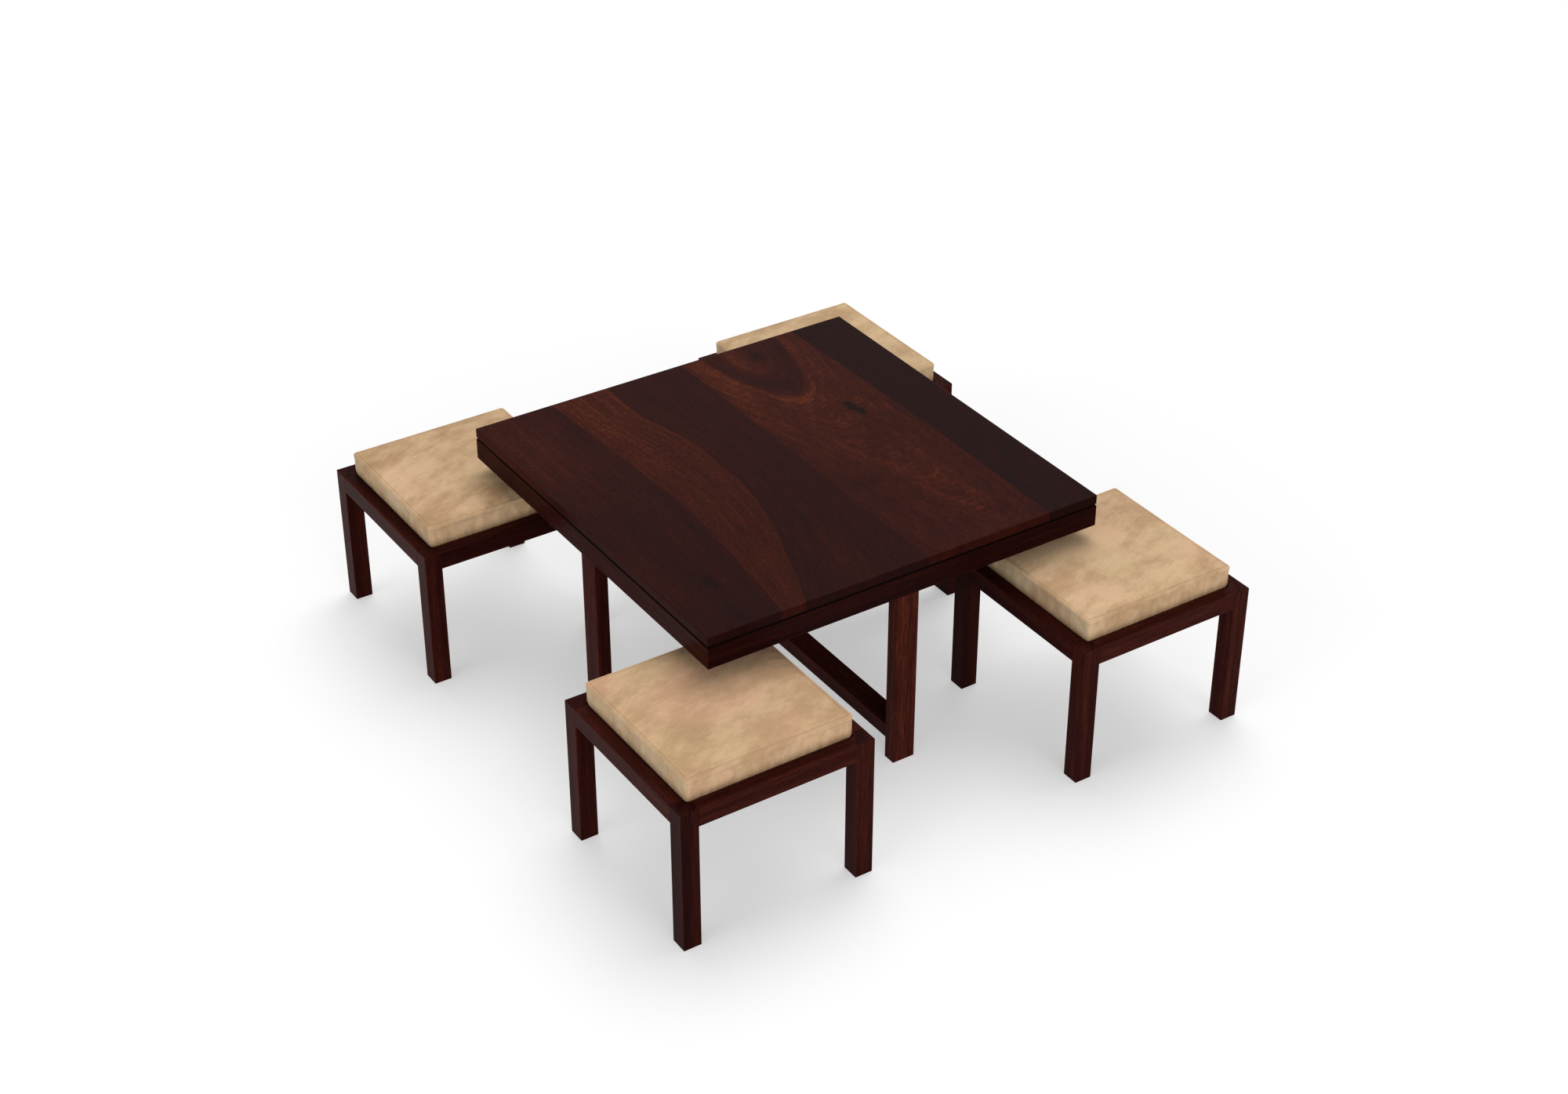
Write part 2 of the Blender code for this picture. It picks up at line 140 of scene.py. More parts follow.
@dataclass(frozen=True)
class NodeSheet:
    """Fills one node tree."""

    tree: bpy.types.NodeTree

    def feed(self, socket: bpy.types.NodeSocket, value: Feed) -> None:
        """Links a wire to an input, or sets the input to a constant.

        Args:
            socket: The input.
            value: A wire, a number or a tuple of numbers.
        """
        if isinstance(value, Wire):
            self.tree.links.new(value.socket, socket)
        elif socket.type == "RGBA":
            socket.default_value = (*value, 1.0)
        else:
            socket.default_value = value

    def add(self, kind: str, feeds: Feeds | None = None, **settings: object) -> bpy.types.Node:
        """Adds a shader node.

        Args:
            kind: The node's type name without its ShaderNode prefix.
            feeds: What goes into its inputs, by name or number.
            **settings: Its properties.

        Returns:
            The node.
        """
        node = self.tree.nodes.new("ShaderNode" + kind)
        for name, value in settings.items():
            setattr(node, name, value)
        for key, value in (feeds or {}).items():
            self.feed(node.inputs[key], value)
        return node

    def wire(self, node: bpy.types.Node, output: int | str = 0) -> Wire:
        """The wire that comes out of a node."""
        return Wire(self, node.outputs[output])

    def maths(self, operation: str, *values: Feed, clamp: bool = False) -> Wire:
        """A Math node on one, two or three values."""
        feeds = dict(enumerate(values))
        return self.wire(self.add("Math", feeds, operation=operation, use_clamp=clamp))

    def vector(self, operation: str, *values: Feed) -> Wire:
        """A Vector Math node on one or two vectors."""
        return self.wire(self.add("VectorMath", dict(enumerate(values)), operation=operation))

    def turned(self, vector: Wire, angles: Triple) -> Wire:
        """A vector turned about the three axes."""
        return self.wire(self.add("Mapping", {"Vector": vector, "Rotation": angles}))

    def split(self, vector: Wire) -> tuple[Wire, Wire, Wire]:
        """The three parts of a vector."""
        node = self.add("SeparateXYZ", {0: vector})
        return tuple(self.wire(node, part) for part in range(3))

    def joined(self, x: Feed, y: Feed, z: Feed) -> Wire:
        """A vector or a colour from three parts."""
        return self.wire(self.add("CombineXYZ", {0: x, 1: y, 2: z}))

    def most(self, *values: Wire) -> Wire:
        """The greatest of several values."""
        return reduce(lambda one, other: self.maths("MAXIMUM", one, other), values)

    def bell(self, value: Wire) -> Wire:
        """1 where a value is nought, falling off evenly to both sides."""
        return self.maths("EXPONENT", value * value * -1.0)

    def span(
        self, value: Feed, low: Feed, high: Feed, start: Feed = 0.0, end: Feed = 1.0
    ) -> Wire:
        """A value eased from start to end as it goes from low to high, and held beyond them."""
        feeds = {0: value, 1: low, 2: high, 3: start, 4: end}
        return self.wire(self.add("MapRange", feeds, interpolation_type="SMOOTHSTEP"))

    def stretch(self, value: Feed, low: Feed, high: Feed, start: Feed, end: Feed) -> Wire:
        """A value carried evenly from one range to another, and on beyond them."""
        feeds = {0: value, 1: low, 2: high, 3: start, 4: end}
        return self.wire(self.add("MapRange", feeds, clamp=False))

    def noise(self, vector: Wire, seed: Feed, layer: Layer) -> Wire:
        """Cloudy noise from 0 to 1.

        Args:
            vector: The place.
            seed: What tells one piece from the next.
            layer: The noise's lumps, detail and contrast.

        Returns:
            The noise, eased over the layer's reach if it has one.
        """
        feeds = {"Vector": self.vector("MULTIPLY", vector, layer.lumps), "W": seed + layer.shift}
        feeds |= {"Scale": 1.0, "Detail": layer.detail, "Roughness": layer.roughness}
        cloud = self.wire(self.add("TexNoise", feeds, noise_dimensions="4D"))
        return self.span(cloud, *layer.reach) if layer.reach else cloud

    def normal(self) -> tuple[Wire, Wire, Wire]:
        """The three parts of the way the surface faces."""
        return self.split(self.wire(self.add("NewGeometry"), "Normal"))

    def curve(self, value: Feed, points: Line) -> Wire:
        """A smooth curve.

        Args:
            value: Where it is read, from 0 to 1.
            points: The points it goes through, from 0 to 1 both ways.

        Returns:
            Its height there.
        """
        node = self.add("FloatCurve", {"Value": value})
        line = node.mapping.curves[0]
        for x, y in points[1:-1]:
            line.points.new(x, y)
        for place, point in zip(line.points, points):
            place.location = point
        node.mapping.update()
        return self.wire(node)

    def ramp(self, value: Feed, stops: Stops) -> Wire:
        """A colour ramp.

        Args:
            value: Where it is read, from 0 to 1.
            stops: Its places and their colours.

        Returns:
            The colour there.
        """
        node = self.add("ValToRGB", {0: value})
        elements = node.color_ramp.elements
        for place, _ in stops[1:-1]:
            elements.new(place)
        for element, (place, colour) in zip(elements, stops):
            element.position = place
            element.color = (*colour, 1.0)
        return self.wire(node)

    def blend(self, share: Feed, low: Feed, high: Feed) -> Wire:
        """A number between two."""
        return self.wire(self.add("Mix", {0: share, 2: low, 3: high}, data_type="FLOAT"))

    def tint(self, share: Feed, low: Feed, high: Feed, mode: str = "MIX") -> Wire:
        """A colour between two, or one laid over another by a blending mode."""
        node = self.add("Mix", {0: share, 6: low, 7: high}, data_type="RGBA", blend_type=mode)
        return self.wire(node, 2)

    def spots(self, across: Wire, along: Wire, rows: Spots) -> Wire:
        """The sum of soft round or long spots.

        Args:
            across: The place one way.
            along: The place the other way.
            rows: Each spot's centre, its size and its weight.

        Returns:
            The weight at each spot's centre, falling off as a bell curve.
        """
        hills = []
        for x, y, wide, long, weight in rows:
            one, other = (across - x) / wide, (along - y) / long
            hills.append(self.maths("EXPONENT", (one * one + other * other) * -1.0) * weight)
        return sum(hills)

    def bump(self, height: Wire, depth: float) -> Wire:
        """A normal raised by a height from 0 to 1, as deep as given, in metres."""
        return self.wire(self.add("Bump", {"Height": height, "Distance": depth, "Strength": 1.0}))


@dataclass(frozen=True)
class GroupPlan:
    """A shared node group: its inputs, each with its kind of socket, and what fills it."""

    name: str
    inputs: dict[str, str]
    fill: Callable[[NodeSheet, Wires], Wires]

    def tree(self) -> bpy.types.ShaderNodeTree:
        """Builds the group the first time and finds it afterwards.

        Returns:
            The group's tree.
        """
        found = bpy.data.node_groups.get(self.name)
        if found is not None:
            return found
        tree = bpy.data.node_groups.new(self.name, "ShaderNodeTree")
        for name, kind in self.inputs.items():
            tree.interface.new_socket(name=name, in_out="INPUT", socket_type="NodeSocket" + kind)
        sheet = NodeSheet(tree)
        entry = tree.nodes.new("NodeGroupInput")
        masks = self.fill(sheet, {name: Wire(sheet, entry.outputs[name]) for name in self.inputs})
        for name in masks:
            tree.interface.new_socket(name=name, in_out="OUTPUT", socket_type="NodeSocketFloat")
        leaving = tree.nodes.new("NodeGroupOutput")
        for name, mask in masks.items():
            sheet.feed(leaving.inputs[name], mask)
        return tree

    def placed(self, sheet: NodeSheet, *feeds: Feed) -> Wires:
        """Puts the group in a material, fed in the order of its inputs, and gives its outputs."""
        node = sheet.add("Group", dict(zip(self.inputs, feeds)), node_tree=self.tree())
        return {output.name: Wire(sheet, output) for output in node.outputs}


# Lumps to the metre.
GRAIN_SWAY = Layer((9.0, 2.2, 9.0), detail=1.0)
GRAIN_SWAY_WIDTH = 0.012
GRAIN_LAYERS = {
    "Figure": Layer((48.0, 1.5, 48.0), 1.0, 4.0, (0.34, 0.66)),
    "Streak": Layer((210.0, 12.0, 210.0), 2.0, 4.0, (0.38, 0.66)),
    "Fleck": Layer((520.0, 85.0, 520.0), 3.0, 3.0, (0.40, 0.66)),
    "Pore": Layer((1100.0, 110.0, 1100.0), 4.0, 2.0, (0.56, 0.68)),
}
NAP_TURN = (0.0, 0.0, math.radians(68))
NAP_EVEN = {
    "Cloud": Layer((6.5, 6.5, 6.5), 0.0, 2.0, (0.34, 0.58)),
    "Mottle": Layer((80.0, 80.0, 24.0), 2.0, 4.0, (0.25, 0.75)),
}
NAP_STROKED = {
    "Brushed": Layer((13.0, 7.0, 9.0), 1.0, 7.0, (0.38, 0.60), 0.64),
    "Stroke": Layer((130.0, 52.0, 90.0), 4.0, 5.0, (0.30, 0.70), 0.65),
    "Fibre": Layer((1500.0, 700.0, 1500.0), 3.0, 2.0),
}


def fill_grain(sheet: NodeSheet, given: Wires) -> Wires:
    """Hardwood grain along Y: broad figure, reddish streaks, short flecks and open pores.

    Args:
        sheet: The group's sheet.
        given: Vector in metres, X across the rings and Y along the grain, and Seed.

    Returns:
        Masks from 0 to 1: Figure, Streak, Fleck and Pore.
    """
    vector, seed = given["Vector"], given["Seed"]
    across, along, deep = sheet.split(vector)
    sway = sheet.noise(vector, seed, GRAIN_SWAY) - 0.5
    laid = sheet.joined(across + sway * GRAIN_SWAY_WIDTH, along, deep)
    return {name: sheet.noise(laid, seed, layer) for name, layer in GRAIN_LAYERS.items()}


def fill_edge_highlight_and_polish(sheet: NodeSheet, given: Wires) -> Wires:
    """The narrow strip along a box-shaped piece's edges, painted paler as a highlight and smoother.

    Args:
        sheet: The group's sheet.
        given: Vector from the piece's middle, its Half Size and the strip's Width, in metres.

    Returns:
        Edge, a mask from 0 to 1.
    """
    away = sheet.vector("ABSOLUTE", given["Vector"])
    inside = sheet.vector("SUBTRACT", given["Half Size"], away)
    x, y, z = (sheet.span(depth, given["Width"], 0.0) for depth in sheet.split(inside))
    return {"Edge": sheet.most(x * y, y * z, x * z)}


def fill_nap(sheet: NodeSheet, given: Wires) -> Wires:
    """Suede: broad clouds, patches where the nap was brushed over, and its fine fibres.

    Args:
        sheet: The group's sheet.
        given: Vector in metres from the middle of the cushion's foot, and Seed.

    Returns:
        Masks from 0 to 1: Cloud, Mottle, Brushed, Stroke and Fibre.
    """
    vector, seed = given["Vector"], given["Seed"]
    turned = sheet.turned(vector, NAP_TURN)
    masks = {name: sheet.noise(vector, seed, layer) for name, layer in NAP_EVEN.items()}
    return masks | {name: sheet.noise(turned, seed, layer) for name, layer in NAP_STROKED.items()}


GRAIN = GroupPlan("hardwood_grain", {"Vector": "Vector", "Seed": "Float"}, fill_grain)
NAP = GroupPlan("suede_nap", {"Vector": "Vector", "Seed": "Float"}, fill_nap)
EDGE_HIGHLIGHT_AND_POLISH = GroupPlan(
    "rubbed_edge", {"Vector": "Vector", "Half Size": "Vector", "Width": "Float"}, fill_edge_highlight_and_polish
)


# Finishes


@dataclass(frozen=True)
class Finish:
    """A named surface. Each kind says what feeds its Principled shader."""

    name: str

    SETTINGS: ClassVar[Feeds] = {}
    ROUGHNESS: ClassVar[float]
    DEPTH: ClassVar[float]

    def material(self) -> bpy.types.Material:
        """Builds the node material.

        Returns:
            A material whose Principled shader is fed and set as this finish asks.
        """
        made = bpy.data.materials.new(self.name)
        made.use_nodes = True
        sheet = NodeSheet(made.node_tree)
        shader = made.node_tree.nodes["Principled BSDF"]
        place = sheet.wire(sheet.add("TexCoord"), "Object")
        for name, value in {**self.SETTINGS, **self.surface(sheet, place)}.items():
            sheet.feed(shader.inputs[name], value)
        return made

    def surface(self, sheet: NodeSheet, place: Wire) -> Feeds:
        """The looks that change over the surface.

        Args:
            sheet: The material's sheet.
            place: The place on the piece, in the object's coordinates.

        Returns:
            What feeds the shader's inputs.
        """
        raise NotImplementedError

    def shown(self, sheet: NodeSheet, colour: Wire, rougher: Wire, height: Wire) -> Feeds:
        """Feeds for the shader, with the finish's own roughness and its depth in metres added."""
        normal = sheet.bump(height, self.DEPTH)
        return {"Base Color": colour, "Roughness": rougher + self.ROUGHNESS, "Normal": normal}


@dataclass(frozen=True)
class LacqueredWood(Finish):
    """Wood under a thin satin film that reflects little, on a piece with this middle and half size.

    Tones run from 0, the darkest stop of the ramp, to 1, the palest.
    """

    middle: Triple
    half: Triple

    SETTINGS = {"Specular IOR Level": 0.012}
    STOPS: ClassVar[Stops]
    # How strongly each mask of the grain shows, and how much less of it a calm board has.
    WEIGHTS = {"Figure": (0.30, 0.0), "Streak": (0.19, 0.0), "Fleck": (0.16, 0.0)}
    PORE_WEIGHT = 0.12
    LIVELY, LIVELIER = 0.6, 0.6
    END_ON = (0.6, 0.9)
    END_DARKER = 0.10
    # Painted highlight: a strip along the edges is paler, standing for the eased edge catching
    # light; it is also smoother.
    EDGE_STRIP_WIDTH = 0.0022
    PAINTED_EDGE_HIGHLIGHT = 0.14
    RUBBED_SMOOTHER = 0.05
    ROUGHNESS = 0.27
    FIGURE_ROUGHER, PORE_ROUGHER = 0.05, 0.12
    DEPTH = 0.00012
    # Painted shade for faces in the dark groove between the top and the aprons.
    PAINTED_GROOVE_SHADE = shade(14, 5, 4)

    def texture(self, grain: Wires, calm: Feed = 0.0) -> Wire:
        """How much the grain lightens each place.

        Args:
            grain: The masks of the grain.
            calm: A mask of the boards that show less of it.

        Returns:
            The lightening.
        """
        weights = {key: most - calm * less for key, (most, less) in self.WEIGHTS.items()}
        swings = sum((grain[key] - 0.5) * weight for key, weight in weights.items())
        return swings - grain["Pore"] * self.PORE_WEIGHT

    def coloured(self, sheet: NodeSheet, tone: Feed, texture: Wire, edge: Wire, end: Wire) -> Wire:
        """The stained wood's colour.

        Args:
            sheet: The material's sheet.
            tone: How pale the wood is here. Pale wood shows more of its grain.
            texture: What the grain adds to it.
            edge: A mask of the edges, which are painted paler as a highlight.
            end: A mask of the end grain, which is darker.

        Returns:
            The colour.
        """
        shown = texture * (tone * self.LIVELIER + self.LIVELY) + tone
        # The edge mask lightens the colour as a painted highlight; end grain is darker.
        return sheet.ramp(shown + edge * self.PAINTED_EDGE_HIGHLIGHT - end * self.END_DARKER, self.STOPS)

    def coat(self, sheet: NodeSheet, colour: Wire, grain: Wires, edge: Wire) -> Feeds:
        """The lacquer over the colour.

        Args:
            sheet: The material's sheet.
            colour: The wood's colour.
            grain: The masks of its grain.
            edge: A mask of the edges, which are smoother.

        Returns:
            What feeds the shader's inputs.
        """
        rough = grain["Figure"] * self.FIGURE_ROUGHER + grain["Pore"] * self.PORE_ROUGHER
        return self.shown(sheet, colour, rough - edge * self.RUBBED_SMOOTHER, 1.0 - grain["Pore"])

    def highlit_and_polished_edges(self, sheet: NodeSheet, offset: Wire) -> Wire:
        """A mask of the highlit, smoother edges, from the place off the piece's middle."""
        return EDGE_HIGHLIGHT_AND_POLISH.placed(sheet, offset, self.half, self.EDGE_STRIP_WIDTH)["Edge"]


@dataclass(frozen=True)
class Board:
    """How pale a board is: a curve of tones, and spots of centre, size and weight laid over it."""

    tones: Line
    spots: Spots

    def tone(self, sheet: NodeSheet, where: Wire, across: Wire, along: Wire) -> Wire:
        """The tone at a place, with its curve read at a place of its own."""
        return sheet.curve(where, self.tones) + sheet.spots(across, along, self.spots)


@dataclass(frozen=True)
class PlankTop(LacqueredWood):
    """The top: boards glued edge to edge, their grain running from back to front.

    Places on the top are shares of its side: across from the left edge, along from the back edge.
    From left to right lie a dark board, a paler band that wanders through it, the rest of the
    board, one with nested arches, and a plain dark board.
    """

    groove: float = 0.0049
    seed: float = 3.0

    SETTINGS = {"Specular IOR Level": 0.015}
    STOPS = (
        (0.0, shade(24, 8, 8)), (0.15, shade(33, 11, 9)), (0.35, shade(43, 13, 9)),
        (0.5, shade(50, 17, 10)), (0.65, shade(57, 20, 11)), (0.85, shade(71, 29, 15)),
        (1.0, shade(88, 40, 21)),
    )
    WEIGHTS = {"Figure": (0.17, 0.07), "Streak": (0.22, 0.09), "Fleck": (0.34, 0.08)}
    PORE_WEIGHT = 0.20
    LIVELY, LIVELIER = 0.42, 0.8
    # The top's painted edge highlight, and its smoother edges.
    PAINTED_EDGE_HIGHLIGHT = 0.16
    RUBBED_SMOOTHER = 0.08
    ROUGHNESS = 0.34
    LIP_BLUR = 0.00012

    GLUE_LINE = 0.546
    GLUE_BLUR = 0.0008
    RIGHT_GLUE_LINE = ((0.0, 0.857), (0.29, 0.868), (1.0, 0.868))
    RIGHT_GLUE_BLUR = 0.0012
    BAND_LEFT = (
        (0.0, 0.193), (0.143, 0.204), (0.357, 0.214), (0.571, 0.2214), (0.75, 0.207), (1.0, 0.1786)
    )
    BAND_RIGHT = (
        (0.0, 0.343), (0.143, 0.344), (0.214, 0.357), (0.32, 0.3786), (0.43, 0.3825),
        (0.607, 0.368), (0.714, 0.343), (0.82, 0.307), (1.0, 0.238),
    )
    BAND_LEFT_BLUR, BAND_RIGHT_BLUR = (-0.0015, 0.0030), (-0.0030, 0.0035)
    BAND_EDGE, BAND_RAGGED = Layer((90.0, 9.0, 1.0)), 0.007
    # A pale rim inside the band's right edge, and how it fades towards the front.
    RIM_IN, RIM_WIDTH, RIM_TONES = 0.0045, 0.0035, (0.70, 0.95, 0.11, 0.02)
    BOARDS = (
        Board(
            ((0.0, 0.46), (0.25, 0.42), (0.45, 0.33), (0.8, 0.26), (1.0, 0.25)),
            (
                (0.05, 0.17, 0.09, 0.20, 0.17), (0.185, 0.10, 0.028, 0.15, -0.16),
                (0.02, 0.75, 0.03, 0.12, 0.14), (0.113, 0.83, 0.011, 0.030, -0.26),
                (0.10, 0.97, 0.05, 0.05, -0.10), (0.155, 0.60, 0.025, 0.10, 0.07),
            ),
        ),
        Board(
            ((0.0, 0.80), (0.25, 0.72), (0.5, 0.62), (0.85, 0.58), (1.0, 0.60)),
            ((0.275, 0.68, 0.008, 0.035, -0.20), (0.30, 0.12, 0.05, 0.10, 0.05)),
        ),
        Board(
            ((0.0, 0.37), (0.5, 0.31), (0.85, 0.27), (1.0, 0.26)),
            ((0.39, 0.30, 0.03, 0.12, 0.07), (0.395, 0.90, 0.045, 0.10, 0.10)),
        ),
    )
    RIGHT_BOARD_TONE = 0.15

    ARCH_CENTRE = ((0.0, 0.7036), (0.30, 0.7036), (0.55, 0.724), (0.80, 0.750), (1.0, 0.754))
    ARCH_HALF = 0.096
    ARCH_POWER = 1.75
    ARCH_RISE = ((0.0, 0.0), (0.13, 0.25), (0.257, 0.50), (0.34, 0.62), (0.46, 0.70), (1.0, 0.92))
    ARCH_RISE_TIMES = 2.0
    # The curve's tones are read from the innermost arch outwards, over this many half widths.
    ARCH_REACH = 2.5
    ARCH_BOARD = Board(
        (
            (0.0, 0.48), (0.15, 0.46), (0.30, 0.39), (0.380, 0.34), (0.42, 0.55), (0.48, 0.74),
            (0.56, 0.72), (0.66, 0.65), (0.80, 0.55), (1.0, 0.49),
        ),
        (
            (0.668, 0.040, 0.026, 0.070, 0.38), (0.722, 0.065, 0.014, 0.030, -0.26),
            (0.70, 0.125, 0.035, 0.02, 0.16), (0.690, 0.295, 0.032, 0.045, 0.16),
            (0.585, 0.16, 0.035, 0.20, 0.22), (0.815, 0.16, 0.022, 0.12, 0.08),
            (0.775, 0.50, 0.035, 0.07, -0.16), (0.66, 0.52, 0.05, 0.09, 0.04),
            (0.82, 0.41, 0.022, 0.04, 0.10), (0.61, 0.67, 0.05, 0.05, -0.10),
            (0.80, 0.95, 0.08, 0.05, -0.05), (0.585, 0.55, 0.030, 0.18, 0.08),
        ),
    )
    ARCH_SWAY, SWAY_FADE = Layer((16.0, 6.0, 1.0), 7.0), (0.40, 0.60, 1.0, 0.20)
    SWAY_OF_TONES, SWAY_OF_RINGS = 0.10, 0.18
    WARPS = ((0.775, 0.40, 0.030, 0.055, 0.26), (0.72, 0.51, 0.030, 0.050, 0.08))
    ARCH_LINES = Layer((13.0, 2.0, 1.0), 3.0, 4.0, (0.36, 0.64))
    LINES_FADE = (0.45, 0.65, 0.17, 0.09)
    PATCHES, PATCH_WEIGHT = Layer((36.0, 20.0, 1.0), 9.0, 4.0, (0.34, 0.66)), 0.15
    KNOTS = ((0.7720, 0.378, 0.0125, 0.021, 1.0), (0.7790, 0.412, 0.0115, 0.024, 1.0))
    KNOT_EDGE, KNOT_RAGGED = Layer((160.0, 60.0, 1.0), 5.0), 0.9
    KNOT_REACH, KNOT_DARKER = (0.34, 0.60), 0.60
    # What tells the grain of one board from the next.
    ARCH_SEED, RIGHT_SEED = 11.0, 7.0

    def banded(self, sheet: NodeSheet, across: Wire, along: Wire) -> tuple[Wire, Wire]:
        """The left boards, with the paler band that wanders through them.

        Args:
            sheet: The material's sheet.
            across: Share from the left edge.
            along: Share from the back edge.

        Returns:
            Where the growth rings lie across the boards, and how pale each place is.
        """
        edge = sheet.noise(sheet.joined(across, along, 0.0), self.seed, self.BAND_EDGE)
        ragged = (edge - 0.5) * self.BAND_RAGGED
        left = sheet.curve(along, self.BAND_LEFT) + ragged
        right = sheet.curve(along, self.BAND_RIGHT) + ragged
        past_left = sheet.span(across - left, *self.BAND_LEFT_BLUR)
        past_right = sheet.span(across - right, *self.BAND_RIGHT_BLUR)
        start, end = self.BAND_LEFT[0][1], self.BAND_RIGHT[0][1]
        rings = (
            sheet.stretch(across, 0.0, left, 0.0, start),
            sheet.stretch(across, left, right, start, end),
            sheet.stretch(across, right, self.GLUE_LINE, end, self.GLUE_LINE),
        )
        tones = [board.tone(sheet, along, across, along) for board in self.BOARDS]
        rim = sheet.bell((right - across - self.RIM_IN) / self.RIM_WIDTH)
        tones[1] = tones[1] + rim * sheet.span(along, *self.RIM_TONES)
        return tuple(
            sheet.blend(past_right, sheet.blend(past_left, outer, band), inner)
            for outer, band, inner in (rings, tones)
        )

    def arched(self, sheet: NodeSheet, across: Wire, along: Wire) -> tuple[Wire, Wire]:
        """The board with nested arches, a knot and a swirl below them.

        Args:
            sheet: The material's sheet.
            across: Share from the left edge.
            along: Share from the back edge.

        Returns:
            Where its growth rings lie, and how pale each place is.
        """
        flat = sheet.joined(across, along, 0.0)
        out = abs((across - sheet.curve(along, self.ARCH_CENTRE)) / self.ARCH_HALF)
        rise = sheet.curve(along, self.ARCH_RISE) * self.ARCH_RISE_TIMES
        total = sum(sheet.maths("POWER", part, self.ARCH_POWER) for part in (out, rise))
        ring = sheet.maths("POWER", total, 1 / self.ARCH_POWER)
        sway = sheet.noise(flat, self.seed, self.ARCH_SWAY) - 0.5
        sway = sway * sheet.span(along, *self.SWAY_FADE)
        outwards = (ring + sway * self.SWAY_OF_TONES) / self.ARCH_REACH
        tone = self.ARCH_BOARD.tone(sheet, outwards, across, along)
        ring = ring + sway * self.SWAY_OF_RINGS + sheet.spots(across, along, self.WARPS)
        lines = sheet.noise(sheet.joined(ring, along, 0.0), self.seed, self.ARCH_LINES)
        tone = tone + (lines - 0.5) * sheet.span(along, *self.LINES_FADE)
        tone = tone + (sheet.noise(flat, self.seed, self.PATCHES) - 0.5) * self.PATCH_WEIGHT
        knot = sheet.spots(across, along, self.KNOTS)
        knot = knot + (sheet.noise(flat, self.seed, self.KNOT_EDGE) - 0.5) * self.KNOT_RAGGED
        return ring * self.ARCH_HALF, tone - sheet.span(knot, *self.KNOT_REACH) * self.KNOT_DARKER

    def in_groove(self, sheet: NodeSheet, offset: Wire) -> Wire:
        """A mask of the rebate along the top's lower edge, painted dark as shade.

        Args:
            sheet: The material's sheet.
            offset: The place off the top's middle.

        Returns:
            1 inside the rebate.
        """
        x, y, z = sheet.split(offset)
        lip = self.groove - self.half[2]
        below = sheet.span(z, lip + self.LIP_BLUR, lip - self.LIP_BLUR)
        inner = self.half[0] - self.groove
        return below * sheet.span(sheet.most(abs(x), abs(y)), inner - self.LIP_BLUR, inner)

    def surface(self, sheet: NodeSheet, place: Wire) -> Feeds:
        """Colour, roughness and pores of the glued boards.

        Args:
            sheet: The material's sheet.
            place: The place on the top.

        Returns:
            What feeds the shader's inputs.
        """
        x, y, z = sheet.split(place)
        side = 2 * self.half[0]
        across = x / side + 0.5
        along = sheet.maths("SUBTRACT", 0.5, y / side, clamp=True)
        past_glue = sheet.span(across - self.GLUE_LINE, -self.GLUE_BLUR, self.GLUE_BLUR)
        joint = sheet.curve(along, self.RIGHT_GLUE_LINE)
        past_right = sheet.span(across - joint, -self.RIGHT_GLUE_BLUR, self.RIGHT_GLUE_BLUR)
        banded, arched = self.banded(sheet, across, along), self.arched(sheet, across, along)
        rings, tone = (
            sheet.blend(past_right, sheet.blend(past_glue, left, middle), right)
            for left, middle, right in zip(banded, arched, (across, self.RIGHT_BOARD_TONE))
        )
        seed = past_glue * self.ARCH_SEED + past_right * self.RIGHT_SEED + self.seed
        grain = GRAIN.placed(sheet, sheet.joined(rings * side, y, z), seed)
        texture = self.texture(grain, calm=past_glue * (1.0 - past_right))
        end = sheet.span(abs(sheet.normal()[1]), *self.END_ON)
        offset = sheet.vector("SUBTRACT", place, self.middle)
        edge = self.highlit_and_polished_edges(sheet, offset)
        colour = self.coloured(sheet, tone, texture, edge, end)
        # Painted shade inside the rebate.
        colour = sheet.tint(self.in_groove(sheet, offset), colour, self.PAINTED_GROOVE_SHADE)
        return self.coat(sheet, colour, grain, edge)


class Way(Enum):
    """The way a piece's grain runs, with the turn that lays it along Y."""

    X = (0.0, 0.0, QUARTER)
    Y = (0.0, 0.0, 0.0)
    Z = (-QUARTER, 0.0, 0.0)


